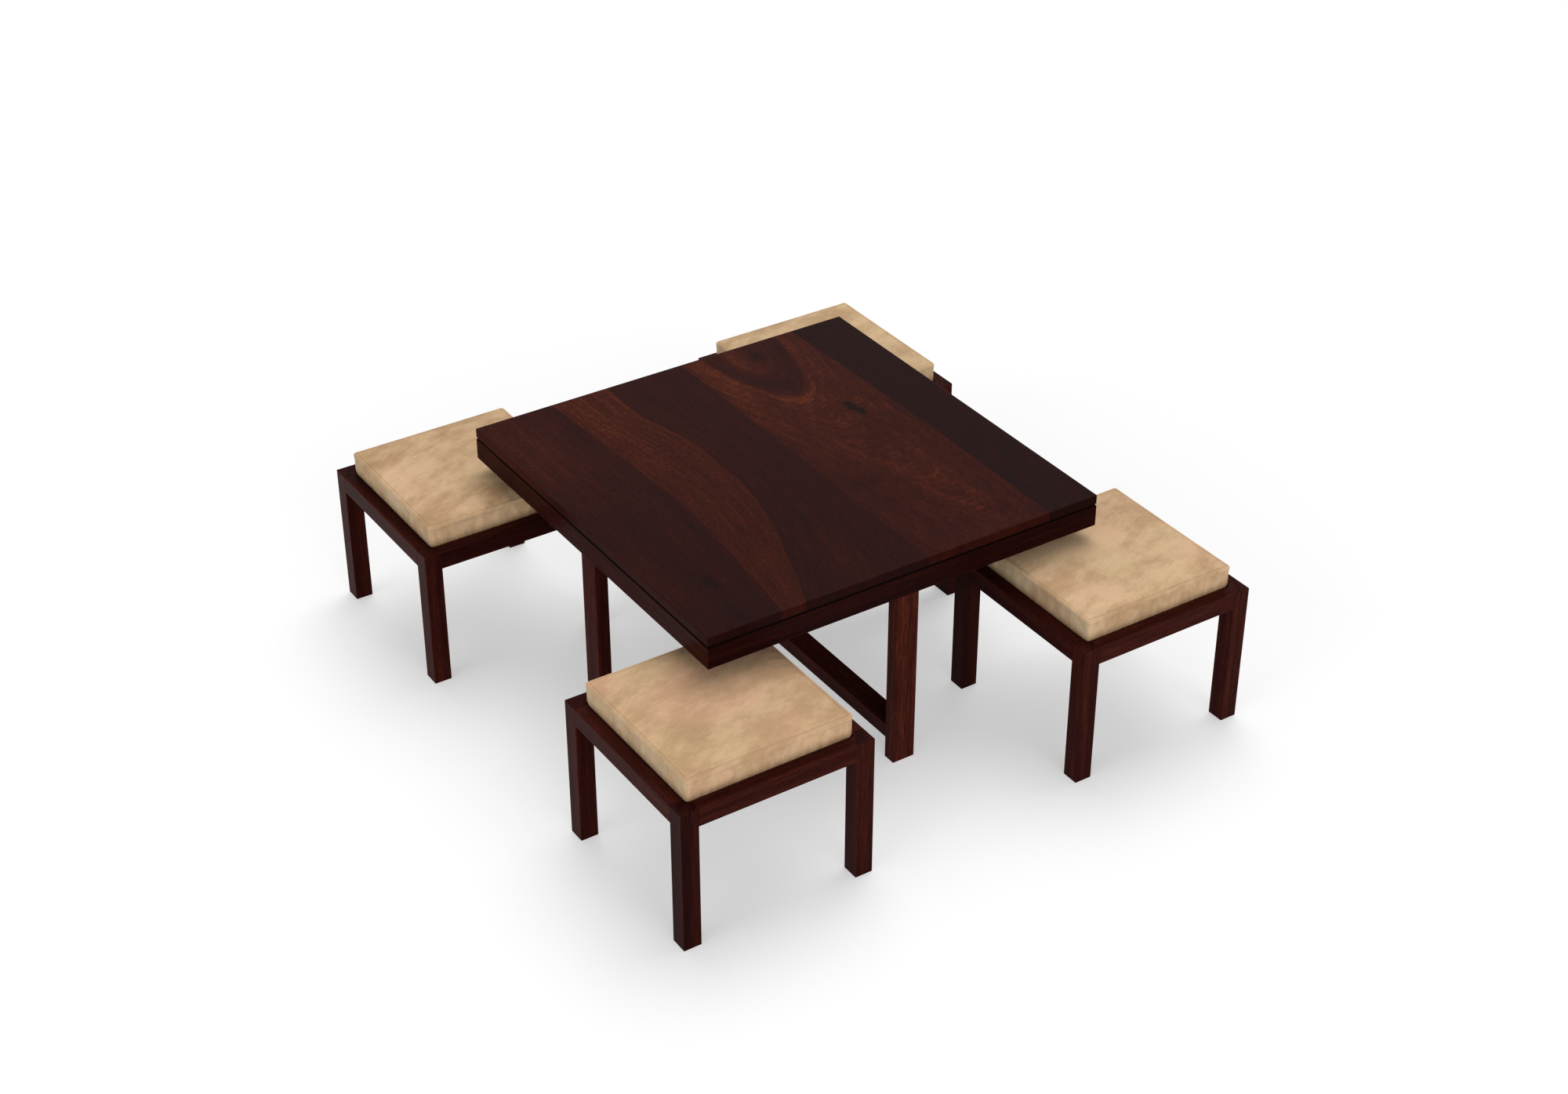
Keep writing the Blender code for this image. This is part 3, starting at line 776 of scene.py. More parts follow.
@dataclass(frozen=True)
class FrameWood(LacqueredWood):
    """Lacquered hardwood of the legs, rails, aprons and stretchers, one material to each piece."""

    way: Way
    tone: float
    seed: float
    # Whether its top faces, seen in the groove under the top, carry painted shade.
    shows_groove_shade: bool

    STOPS = (
        (0.0, shade(22, 6, 5)), (0.25, shade(33, 9, 8)), (0.5, shade(47, 15, 11)),
        (0.75, shade(61, 24, 17)), (1.0, shade(82, 36, 24)),
    )
    PITH = (0.071, 0.043)
    RING_TURN = 0.03

    def ringed(self, sheet: NodeSheet, laid: Wire, end: Wire) -> Wire:
        """Bends the grain's coordinates into rings about a far pith on a piece's ends.

        Args:
            sheet: The material's sheet.
            laid: The place with the grain along Y, from the piece's middle.
            end: A mask, 1 where the end grain shows.

        Returns:
            The coordinates for the grain.
        """
        parts = sheet.split(laid)
        across, deep = parts[0] + self.PITH[0], parts[2] + self.PITH[1]
        ring = sheet.maths("SQRT", across * across + deep * deep)
        turn = sheet.maths("ARCTAN2", across, deep) * self.RING_TURN
        return sheet.joined(*(sheet.blend(end, *pair) for pair in zip(parts, (ring, turn, 0.0))))

    def surface(self, sheet: NodeSheet, place: Wire) -> Feeds:
        """Colour, roughness and pores of one straight-grained piece.

        Args:
            sheet: The material's sheet.
            place: The place on the piece.

        Returns:
            What feeds the shader's inputs.
        """
        offset = sheet.vector("SUBTRACT", place, self.middle)
        normal = sheet.joined(*sheet.normal())
        laid, facing = (sheet.turned(vector, self.way.value) for vector in (offset, normal))
        end = sheet.span(abs(sheet.split(facing)[1]), *self.END_ON)
        grain = GRAIN.placed(sheet, self.ringed(sheet, laid, end), self.seed)
        edge = self.highlit_and_polished_edges(sheet, offset)
        colour = self.coloured(sheet, self.tone, self.texture(grain), edge, end)
        # Painted shade on the top faces that show in the groove under the top.
        if self.shows_groove_shade:
            up = sheet.span(sheet.normal()[2], *self.END_ON)
            colour = sheet.tint(up, colour, self.PAINTED_GROOVE_SHADE)
        return self.coat(sheet, colour, grain, edge)


@dataclass(frozen=True)
class Hue:
    """What tells one cushion's suede from the next: pink, painted side shade, brushed patches."""

    rosy: float
    # Painted shade on the cushion's sides; below nought it is painted light.
    deep: float
    patchy: float


@dataclass(frozen=True)
class Suede(Finish):
    """Mottled beige suede of one sewn cushion, placed by the middle of its foot."""

    foot: Triple
    seed: float
    sewn: "CushionPattern"
    hue: Hue

    SETTINGS = {
        "Specular IOR Level": 0.08,
        "Sheen Weight": 0.06,
        "Sheen Roughness": 0.45,
        "Sheen Tint": (1.0, 0.93, 0.84),
    }
    YELLOW, PINK = shade(210, 180, 141), shade(213, 172, 140)
    # Painted light tint for faces turned to the left.
    LEFT_LIGHT_TINT = shade(194, 170, 138)
    DEEP = shade(158, 121, 84)
    SHADED = shade(122, 88, 56)
    # How far the surface is turned from level, and to the left, as parts of its normal.
    UPRIGHT, LEFTWARD = (0.7, 0.3), (-0.35, -0.85)
    CLOUD_MIDDLE = 0.45
    CLOUD_WEIGHT, STROKE_WEIGHT, MOTTLE_WEIGHT, CREASE_WEIGHT = 0.16, 0.15, 0.28, 0.34
    CREASE, CORNER_BLEND, SIDE_CREASE, TOP_SHARE = 0.0011, 0.004, 0.55, 0.4
    # How high the painted shade at the foot reaches, how strong it is and how much the mottle
    # varies it.
    FOOT_HEIGHT, FOOT_WEIGHT, FOOT_MOTTLE = 0.024, 0.65, 0.5
    FIBRE_SWING, FIBRE_SHARE, DEPTH = 0.16, 0.7, 0.00022
    ROUGHNESS, BRUSHED_ROUGHER = 0.88, 0.06

    def crease_shade(self, sheet: NodeSheet, offset: Wire) -> Wire:
        """Painted shade where the seam is stitched down, on the top and round the sides.

        Args:
            sheet: The material's sheet.
            offset: The place, from the middle of the cushion's foot.

        Returns:
            A mask from 0 to 1.
        """
        x, y, z = sheet.split(offset)
        half, height = self.sewn.seam_half, self.sewn.seam_height
        over, down = self.sewn.welt_reach, self.sewn.welt_drop
        out = sheet.maths("SMOOTH_MAX", abs(x), abs(y), self.CORNER_BLEND)
        top = sheet.span(z, height - down * self.TOP_SHARE, height)
        top_line = sheet.bell((out - (half - over - self.CREASE)) / self.CREASE)
        side_line = sheet.bell((z - (height - down - self.CREASE)) / self.CREASE)
        return top_line * top + side_line * self.SIDE_CREASE

    def surface(self, sheet: NodeSheet, place: Wire) -> Feeds:
        """Clouded colour, brushed patches and fibres, with painted shade and a painted light tint.

        Args:
            sheet: The material's sheet.
            place: The place on the cushion.

        Returns:
            What feeds the shader's inputs.
        """
        offset = sheet.vector("SUBTRACT", place, self.foot)
        nap = NAP.placed(sheet, offset, self.seed)
        right, _, up = sheet.normal()
        upright = sheet.span(up, *self.UPRIGHT)
        pink = sheet.blend(upright, nap["Cloud"], nap["Mottle"]) * self.hue.rosy
        colour = sheet.tint(pink, self.YELLOW, self.PINK)
        # Painted light: faces turned to the left take a greyer tint.
        colour = sheet.tint(sheet.span(right, *self.LEFTWARD), colour, self.LEFT_LIGHT_TINT)
        # Darker: brushed patches and clouds of the nap, plus painted shade on the sides by the
        # hue's deep.
        dark = (1.0 - nap["Brushed"]) * self.hue.patchy + (1.0 - upright) * self.hue.deep
        dark = dark + (nap["Stroke"] - 0.5) * self.STROKE_WEIGHT
        dark = dark + (self.CLOUD_MIDDLE - nap["Cloud"]) * self.CLOUD_WEIGHT
        dark = dark + (nap["Mottle"] - 0.5) * upright * self.MOTTLE_WEIGHT
        # Painted shade in the creases along the stitched seam.
        crease_shade = self.crease_shade(sheet, offset) * self.CREASE_WEIGHT
        dark = sheet.maths("ADD", dark, crease_shade, clamp=True)
        colour = sheet.tint(dark, colour, self.DEEP)
        # Painted shade: the sides darken towards the foot, inside the rail.
        low = sheet.span(sheet.split(offset)[2], self.FOOT_HEIGHT, -self.FOOT_HEIGHT / 3)
        low = low * (nap["Mottle"] * self.FOOT_MOTTLE + self.FOOT_WEIGHT)
        colour = sheet.tint(low, colour, self.SHADED)
        fibres = sheet.joined(*[(nap["Fibre"] - 0.5) * self.FIBRE_SWING + 1.0] * 3)
        colour = sheet.tint(1.0, colour, fibres, mode="MULTIPLY")
        height = nap["Fibre"] * self.FIBRE_SHARE + nap["Mottle"] * (1.0 - self.FIBRE_SHARE)
        return self.shown(sheet, colour, nap["Brushed"] * self.BRUSHED_ROUGHER, height)


@dataclass(frozen=True)
class Thread(Finish):
    """Tan sewing thread, twisted from two strands."""

    COLOUR, SHADED = shade(206, 174, 138), shade(170, 134, 100)
    TWIST, DEPTH = 2600.0, 0.0001
    ROUGHNESS, STRAND_ROUGHER = 0.7, 0.1

    def surface(self, sheet: NodeSheet, place: Wire) -> Feeds:
        """Diagonal strands, with painted shade in the grooves between them.

        Args:
            sheet: The material's sheet.
            place: The place on the thread.

        Returns:
            What feeds the shader's inputs.
        """
        # The darker colour in the grooves between the strands is painted shade.
        wave = sheet.maths("SINE", sum(sheet.split(place)) * self.TWIST) * 0.5 + 0.5
        colour = sheet.tint(wave, self.SHADED, self.COLOUR)
        return self.shown(sheet, colour, wave * self.STRAND_ROUGHER, wave)


@dataclass(frozen=True)
class Plywood(Finish):
    """Plywood, near black on top and edges as painted shade, brown below, glue lines showing on
    edges.
    """

    bottom: float
    thick: float
    plies: int = 7

    SETTINGS, DEPTH = LacqueredWood.SETTINGS, LacqueredWood.DEPTH
    # Painted shade: top and edges are near black so the gap round the cushion reads dark; the
    # underside is brown.
    LIGHT, DARK, UNDERSIDE = shade(20, 10, 8), shade(10, 5, 4), shade(78, 46, 30)
    SEED = 41.0
    GLUE = (0.06, 0.16, 0.8, 0.0)
    LEVEL, DOWNWARD = (0.3, 0.8), (-0.3, -0.8)
    FIGURE_WEIGHT, PORE_WEIGHT = 0.35, 0.15
    ROUGHNESS, FIGURE_ROUGHER = 0.62, 0.1

    def surface(self, sheet: NodeSheet, place: Wire) -> Feeds:
        """Face grain along X, and the plies in their turn on the edges.

        Args:
            sheet: The material's sheet.
            place: The place on the board.

        Returns:
            What feeds the shader's inputs.
        """
        x, y, z = sheet.split(place)
        grain = GRAIN.placed(sheet, sheet.joined(y, x, z), self.SEED)
        ply = sheet.maths("FRACT", (z - self.bottom) / (self.thick / self.plies))
        up = sheet.normal()[2]
        glue = sheet.span(ply, *self.GLUE) * (1.0 - sheet.span(abs(up), *self.LEVEL))
        veins = grain["Figure"] * self.FIGURE_WEIGHT + grain["Pore"] * self.PORE_WEIGHT
        # Near-black painted shade on the top and edges, brown on the underside.
        light = sheet.tint(sheet.span(up, *self.DOWNWARD), self.LIGHT, self.UNDERSIDE)
        colour = sheet.tint(sheet.maths("ADD", glue, veins, clamp=True), light, self.DARK)
        rougher = grain["Figure"] * self.FIGURE_ROUGHER
        return self.shown(sheet, colour, rougher, 1.0 - grain["Pore"])


@dataclass(frozen=True)
class PlatedSteel(Finish):
    """Zinc plated screws, cloudy and slightly scratched."""

    SETTINGS = {"Metallic": 1.0}
    BLUISH, YELLOWISH = shade(176, 178, 180), shade(208, 206, 196)
    CLOUDS = Layer((420.0, 420.0, 420.0), 5.0)
    MARKS, DEPTH = Layer((300.0, 300.0, 9000.0), 6.0), 0.00003
    ROUGHNESS, CLOUD_ROUGHER = 0.26, 0.15

    def surface(self, sheet: NodeSheet, place: Wire) -> Feeds:
        """Passivation clouds and turning marks.

        Args:
            sheet: The material's sheet.
            place: The place on the screw.

        Returns:
            What feeds the shader's inputs.
        """
        cloud, marks = (sheet.noise(place, 0.0, layer) for layer in (self.CLOUDS, self.MARKS))
        colour = sheet.tint(cloud, self.BLUISH, self.YELLOWISH)
        return self.shown(sheet, colour, cloud * self.CLOUD_ROUGHER, marks)


# Modelling


class Element(Enum):
    """What an edit picks by its place, under the name of a mesh's list of them."""

    VERT = "verts"
    EDGE = "edges"
    FACE = "faces"


class Bench:
    """Short forms of the modelling operators, each with everything else deselected first."""

    # How much of a normal along an axis counts as facing it, and how near points are one point.
    FACING = 0.9
    ONE_POINT = 0.00001

    @staticmethod
    def clear() -> None:
        """Leaves edit mode and deselects every object."""
        if bpy.context.object is not None and bpy.context.object.mode != "OBJECT":
            bpy.ops.object.mode_set(mode="OBJECT")
        bpy.ops.object.select_all(action="DESELECT")

    @staticmethod
    def work_on(piece: Piece) -> None:
        """Selects one object alone and makes it the active one.

        Args:
            piece: The object.
        """
        Bench.clear()
        piece.select_set(True)
        bpy.context.view_layer.objects.active = piece

    @staticmethod
    def opened(name: str, scale: Triple = (1.0, 1.0, 1.0)) -> Piece:
        """Names the primitive that was just added, and opens it.

        Args:
            name: The piece's name.
            scale: How far it is stretched along each axis.

        Returns:
            The piece, in edit mode, with its place and size in its mesh.
        """
        piece = bpy.context.object
        piece.scale = scale
        piece.name = piece.data.name = name
        bpy.ops.object.transform_apply(location=True, rotation=True, scale=True)
        bpy.ops.object.mode_set(mode="EDIT")
        return piece

    @staticmethod
    def pick(kind: Element, test: Callable[[Vector, Vector | None], bool]) -> None:
        """Selects vertices, edges or faces of the mesh being edited by their place.

        Args:
            kind: Which of them.
            test: Takes an element's middle and its normal, which an edge has none of, and says
                whether it is wanted.
        """
        bpy.ops.mesh.select_mode(type=kind.name)
        bpy.ops.mesh.select_all(action="DESELECT")
        mesh = bmesh.from_edit_mesh(bpy.context.edit_object.data)
        for part in getattr(mesh, kind.value):
            corners = [vert.co for vert in getattr(part, "verts", [part])]
            middle = sum(corners, Vector()) / len(corners)
            if test(middle, getattr(part, "normal", None)):
                part.select_set(True)
        mesh.select_flush_mode()
        bmesh.update_edit_mesh(bpy.context.edit_object.data)

    @staticmethod
    def cut(normal: Triple, distances: Sequence[float]) -> None:
        """Cuts the whole mesh being edited across, at distances from the origin along a normal.

        Args:
            normal: What the cuts face.
            distances: Where they go.
        """
        for distance in distances:
            bpy.ops.mesh.select_all(action="SELECT")
            bpy.ops.mesh.bisect(plane_co=Vector(normal) * distance, plane_no=normal)

    @staticmethod
    def resize(share: float, height: float) -> None:
        """Shrinks what is selected towards the middle, with its height kept."""
        bpy.ops.transform.resize(value=(share, share, 1), center_override=(0, 0, height))

    @staticmethod
    def apply(piece: Piece, kind: str, **settings: object) -> None:
        """Adds a modifier and applies it.

        Args:
            piece: The object.
            kind: The modifier's type.
            **settings: Its properties.
        """
        Bench.work_on(piece)
        step = piece.modifiers.new(kind.title(), kind)
        for name, value in settings.items():
            setattr(step, name, value)
        bpy.ops.object.modifier_apply(modifier=step.name)

    @staticmethod
    def points(mesh: bpy.types.Mesh) -> np.ndarray:
        """Reads the places of a mesh's vertices.

        Args:
            mesh: The mesh.

        Returns:
            The places, one row each.
        """
        flat = np.empty(len(mesh.vertices) * 3)
        mesh.vertices.foreach_get("co", flat)
        return flat.reshape(-1, 3)

    @staticmethod
    def move_points(mesh: bpy.types.Mesh, places: np.ndarray) -> None:
        """Puts a mesh's vertices where the rows say."""
        mesh.vertices.foreach_set("co", places.ravel())
        mesh.update()

    @staticmethod
    def tidy(piece: Piece, degrees: float = 40) -> None:
        """Merges doubles, turns the faces outwards and shades the piece smooth below an angle.

        Args:
            piece: The piece.
            degrees: The angle.
        """
        Bench.work_on(piece)
        bpy.ops.object.mode_set(mode="EDIT")
        bpy.ops.mesh.select_all(action="SELECT")
        bpy.ops.mesh.remove_doubles(threshold=Bench.ONE_POINT)
        bpy.ops.mesh.normals_make_consistent(inside=False)
        bpy.ops.object.mode_set(mode="OBJECT")
        bpy.ops.object.shade_smooth_by_angle(angle=math.radians(degrees))

    @staticmethod
    def put(name: str, data: bpy.types.ID) -> Piece:
        """Puts a mesh, a lamp or a camera in the scene.

        Args:
            name: The new object's name.
            data: What it shows.

        Returns:
            The object.
        """
        made = bpy.data.objects.new(name, data)
        bpy.context.scene.collection.objects.link(made)
        return made

    @staticmethod
    def copied(pattern: Piece, name: str, place: Matrix) -> Piece:
        """Copies a piece with a mesh of its own, and puts its place in that mesh.

        Args:
            pattern: The piece to copy.
            name: The copy's name.
            place: Where it goes.

        Returns:
            The copy.
        """
        mesh = pattern.data.copy()
        mesh.name = name
        mesh.transform(place)
        return Bench.put(name, mesh)

    @staticmethod
    def repeated(name: str, pattern: Piece, places: Sequence[Matrix]) -> Piece:
        """One object that holds a copy of a small pattern piece at each place.

        Args:
            name: The new piece's name.
            pattern: The piece to repeat, which is removed afterwards.
            places: Where each copy goes.

        Returns:
            The piece.
        """
        corners = np.c_[Bench.points(pattern.data), np.ones(len(pattern.data.vertices))]
        rows = [corners @ np.array(place.transposed()) for place in places]
        faces = [tuple(face.vertices) for face in pattern.data.polygons]
        starts = range(0, len(places) * len(corners), len(corners))
        every = [tuple(start + index for index in face) for start in starts for face in faces]
        mesh = bpy.data.meshes.new(name)
        mesh.from_pydata(np.vstack(rows)[:, :3].tolist(), [], every)
        mesh.shade_smooth()
        bpy.data.objects.remove(pattern, do_unlink=True)
        return Bench.put(name, mesh)


class SewnPiece(Enum):
    """What a cushion is sewn from, each with the end of its pieces' names."""

    BODY = "suede_cushion"
    WELT = "welt"
    CORNER_SEAMS = "corner_seams"
    STITCHING = "stitching"


@dataclass
class CushionPattern:
    """The pieces of one boxed suede cushion, sewn at the origin with its foot at height zero.

    A simulated body, the welt over its top seam, the seams down its corners, and the stitching.
    """

    half: float
    height: float
    crown: float = 0.0062
    welt_reach: float = 0.0050
    welt_drop: float = 0.0070
    welt_rise: float = 0.0008
    flare: float = 0.0002
    foot_draw: float = 0.0005
    waist: float = 0.0014
    ear: float = 0.0002
    corner_radius: float = 0.0068
    corner_steps: int = 6
    voxel: float = 0.0048
    most_moved: float = 0.0050
    stitch_length: float = 0.0025
    stitch_pitch: float = 0.0034
    stitch_radius: float = 0.00036
    stitch_corners: int = 6
    ridge_width: float = 0.0036
    ridge_rise: float = 0.0005
    ridge_thickness: float = 0.0008
    ridge_columns: int = 8
    ridge_rows: int = 24
    arc_steps: int = 8
    side_steps: int = 14

    # A side's share of height, of the draw at its foot and of the flare at its seam.
    SIDE_SHARES = (
        (0.05, 0.25, 0.00), (0.20, 0.00, 0.00), (0.45, 0.00, 0.06), (0.70, 0.00, 0.30),
        (0.88, 0.00, 0.74),
    )
    # The top's rings: each one's share of the last one's width, and of the crown.
    CROWN_SHARES = ((0.94, 0.16), (0.85, 0.16), (0.78, 0.14), (0.7, 0.10), (0.5, 0.04))
    # The welt's section in shares of its rise: a ridge's far edge, then its fall to the seam.
    WELT_BORDER = ((0.0, -1.8), (0.0, -0.2), (0.30, 0.45), (0.85, 0.85), (1.6, 1.0))
    WELT_VALLEY = ((2.4, 0.97), (1.75, 0.80), (1.30, 0.35), (1.15, -0.30), (1.2, -0.9))
    # How sharply the waist and the ears fade, inwards and with height.
    WAIST_POWERS, WAIST_TOP = (6, 0.8), 0.92
    EAR_POWERS = (24, 8)
    # How many voxels of the remeshed form the seam and the foot hold still.
    HELD_SEAM, HELD_FOOT = 1.3, 1.6
    # Where a stitch row lies on its ridge, in shares of the welt's rise.
    STITCH_IN, STITCH_UP = 0.35, 0.45
    STITCH_TIP, STITCH_TIP_OUT = 0.4, 0.5
    RIDGE_TOP = 0.7
    RIDGE_POWER, RIDGE_SINK = 1.5, 0.4
    CLOTH_FRAMES = 20
    CLOTH = {
        "quality": 6,
        "mass": 0.25,
        "tension_stiffness": 12.0,
        "compression_stiffness": 12.0,
        "shear_stiffness": 6.0,
        "bending_stiffness": 0.8,
        "shrink_min": -0.012,
        "use_pressure": True,
        "uniform_pressure_force": 1.1,
    }

    @property
    def seam_half(self) -> float:
        """From the middle to the seam under the welt."""
        return self.half - self.welt_rise

    @property
    def seam_height(self) -> float:
        """The seam's height over the foot."""
        return self.height - self.crown

    @property
    def reach(self) -> float:
        """From the middle to where a corner's round begins."""
        return self.seam_half - self.corner_radius

    def drawn(self, places: np.ndarray) -> np.ndarray:
        """Draws the sides in between the corners, and the top corners out into small ears.

        Args:
            places: Points of a plain square form, one row each.

        Returns:
            The same points, moved.
        """
        moved = places.copy()
        share = np.clip(places[:, 2] / self.seam_height, 0, 1)
        fade, lean = self.WAIST_POWERS
        upward = np.sin(share**lean * math.pi * self.WAIST_TOP)
        for axis in (0, 1):
            along = np.clip(places[:, 1 - axis] / self.reach, -1, 1)
            near = np.clip(np.abs(places[:, axis]) / self.seam_half, 0, 1) ** fade
            pull = self.waist * np.cos(along * QUARTER) ** 2 * near * upward
            moved[:, axis] -= np.sign(places[:, axis]) * pull
        inwards, downwards = self.EAR_POWERS
        corner = np.clip(np.abs(places[:, :2]).min(axis=1) / self.reach, 0, 1) ** inwards
        ears = corner * share**downwards * self.ear
        moved[:, :2] += np.sign(places[:, :2]) * ears[:, None]
        return moved

    def edge_places(self, inset: float, height: float) -> Iterator[Matrix]:
        """Stitch places at an even pitch along the edge, X along it and Y inwards.

        Args:
            inset: How far in from the seam the line runs; negative is outside it.
            height: Its height over the foot.

        Yields:
            The places, once round.
        """
        radius = self.corner_radius - inset
        side = 2 * self.reach
        quarter_length = side + radius * QUARTER
        count = round(4 * quarter_length / self.stitch_pitch)
        for index in range(count):
            turns, rest = divmod(index * 4 * quarter_length / count, quarter_length)
            if rest < side:
                angle, x, y = 0.0, rest - self.reach, -self.reach - radius
            else:
                angle = (rest - side) / radius
                x = self.reach + radius * math.sin(angle)
                y = -self.reach - radius * math.cos(angle)
            here = quarters(turns) @ Matrix.Translation((x, y, height))
            here @= Matrix.Rotation(angle, 4, "Z")
            here.translation = self.drawn(np.array([here.translation[:]]))[0]
            yield here

    def shell(self) -> Piece:
        """The plain form before it is filled: drawn in at the foot, flared to the seam, crowned.

        Returns:
            The form.
        """
        side, height = 2 * self.seam_half, self.seam_height
        Bench.clear()
        bpy.ops.mesh.primitive_cube_add(size=1, location=(0, 0, height / 2))
        piece = Bench.opened("cushion_body", (side, side, height))
        Bench.pick(Element.EDGE, lambda middle, normal: abs(middle.z / height - 0.5) < 0.1)
        bpy.ops.mesh.bevel(offset=self.corner_radius, segments=self.corner_steps, affect="EDGES")
        Bench.cut((0, 0, 1), [rise * height for rise, _, _ in self.SIDE_SHARES])
        near = self.foot_draw / 10
        for rise, draw, flare in ((0.0, 1.0, 0.0), *self.SIDE_SHARES):
            level = rise * height
            Bench.pick(Element.VERT, lambda middle, normal: abs(middle.z - level) < near)
            half = self.seam_half - (1 - flare) * self.flare - draw * self.foot_draw
            Bench.resize(half / self.seam_half, level)
        Bench.pick(Element.FACE, lambda middle, normal: normal.z > Bench.FACING)
        for share, lift in self.CROWN_SHARES:
            bpy.ops.mesh.extrude_region_move()
            Bench.resize(share, height)
            bpy.ops.transform.translate(value=(0, 0, lift * self.crown))
        bpy.ops.object.mode_set(mode="OBJECT")
        return piece

    def held(self, places: np.ndarray) -> np.ndarray:
        """Which points the seams and the board hold still.

        Args:
            places: The remeshed form's points, before its sides are drawn in.

        Returns:
            True for each point that is held.
        """
        out = np.abs(places[:, :2])
        rim = out.max(axis=1) > self.seam_half - self.voxel * self.HELD_SEAM
        seam = (places[:, 2] > self.seam_height - self.voxel) & rim
        foot = places[:, 2] < self.voxel * self.HELD_FOOT
        corner = out.min(axis=1) > self.reach
        return seam | foot | corner

    def body(self) -> Piece:
        """The stuffed body: a cloth shell swollen by pressure between its held seams.

        Returns:
            The body.
        """
        piece = self.shell()
        Bench.apply(piece, "REMESH", mode="VOXEL", voxel_size=self.voxel)
        places = Bench.points(piece.data)
        Bench.move_points(piece.data, self.drawn(places))
        group = piece.vertex_groups.new(name="held")
        group.add(np.flatnonzero(self.held(places)).tolist(), 1.0, "REPLACE")
        self.swell(piece, group.name)
        piece.vertex_groups.clear()
        Bench.apply(piece, "SUBSURF", levels=1, render_levels=1)
        Bench.tidy(piece, degrees=60)
        return piece

    def swell(self, piece: Piece, held: str) -> None:
        """Fills the shell by a cloth simulation and puts its result in the mesh.

        Args:
            piece: The shell.
            held: The name of the vertex group that stays put.
        """
        before = Bench.points(piece.data)
        Bench.work_on(piece)
        step = piece.modifiers.new("Cloth", "CLOTH")
        for name, value in self.CLOTH.items():
            setattr(step.settings, name, value)
        step.settings.vertex_group_mass = held
        step.settings.effector_weights.gravity = 0.0
        step.collision_settings.use_collision = False
        scene = bpy.context.scene
        for frame_number in range(1, self.CLOTH_FRAMES + 1):
            scene.frame_set(frame_number)
        bpy.ops.object.modifier_apply(modifier=step.name)
        scene.frame_set(1)
        move = Bench.points(piece.data) - before
        far = np.linalg.norm(move, axis=1)
        capped = self.most_moved * np.tanh(far / self.most_moved)
        move *= (capped / np.maximum(far, 1e-9))[:, None]
        Bench.move_points(piece.data, before + move)
        log.info("cushion swelled by %.1f mm at most", capped.max() * 1000)

    def welt_section(self) -> list[tuple[float, float]]:
        """The welt's outline from the foot of its side ridge over the seam to its top ridge.

        Returns:
            Heights over the seam and distances out from it.
        """
        rise = self.welt_rise
        down, over = (
            [(reach - along * rise, up * rise) for along, up in self.WELT_BORDER]
            + [(along * rise, up * rise) for along, up in self.WELT_VALLEY]
            for reach in (self.welt_drop, self.welt_reach)
        )
        deep = rise * self.WELT_BORDER[0][1]
        side = [(-away, out) for away, out in down]
        return side + [(up, -away) for away, up in reversed(over)] + [(deep, deep)]

    def welt(self) -> Piece:
        """The folded seam allowance: two low ridges over the edge with the seam between them.

        Returns:
            The welt.
        """
        section = self.welt_section()
        Bench.clear()
        bpy.ops.mesh.primitive_circle_add(
            vertices=len(section), radius=self.welt_rise, fill_type="NGON"
        )
        piece = Bench.opened("cushion_welt")
        mesh = bmesh.from_edit_mesh(piece.data)
        for vert, (up, out) in zip(mesh.verts, section):
            vert.co = (-self.reach, -self.seam_half - out, self.seam_height + up)
        bmesh.update_edit_mesh(piece.data)
        for turns in range(4):
            turn = quarters(turns)
            run = turn @ Vector((2 * self.reach / self.side_steps, 0, 0))
            for _ in range(self.side_steps):
                bpy.ops.mesh.extrude_region_move(TRANSFORM_OT_translate={"value": run})
            centre = turn @ Vector((self.reach, -self.reach, 0))
            bpy.ops.mesh.spin(steps=self.arc_steps, angle=-QUARTER, center=centre, axis=(0, 0, 1))
        near = self.welt_rise / 10
        Bench.pick(
            Element.FACE,
            lambda middle, normal: abs(normal.x) > Bench.FACING
            and abs(middle.x + self.reach) < near
            and middle.y < 0,
        )
        bpy.ops.mesh.delete(type="ONLY_FACE")
        bpy.ops.object.mode_set(mode="OBJECT")
        Bench.move_points(piece.data, self.drawn(Bench.points(piece.data)))
        Bench.tidy(piece)
        return piece

    def stitching(self) -> Piece:
        """Two rows of stitches, one down the side from the seam and one in over the top.

        Returns:
            The stitches.
        """
        radius = self.stitch_radius
        Bench.clear()
        bpy.ops.mesh.primitive_cylinder_add(
            vertices=self.stitch_corners,
            radius=radius,
            depth=self.stitch_length,
            rotation=(0, QUARTER, 0),
        )
        stitch = Bench.opened("stitch")
        Bench.pick(Element.FACE, lambda middle, normal: abs(normal.x) > Bench.FACING)
        bpy.ops.mesh.inset(thickness=radius * self.STITCH_TIP, depth=radius * self.STITCH_TIP_OUT)
        bpy.ops.object.mode_set(mode="OBJECT")
        border = self.STITCH_IN * self.welt_rise
        proud = self.STITCH_UP * self.welt_rise + radius * self.STITCH_TIP
        rows = [*self.edge_places(-proud, self.seam_height - self.welt_drop + border)]
        rows += self.edge_places(self.welt_reach - border, self.seam_height + proud)
        return Bench.repeated("cushion_stitching", stitch, rows)

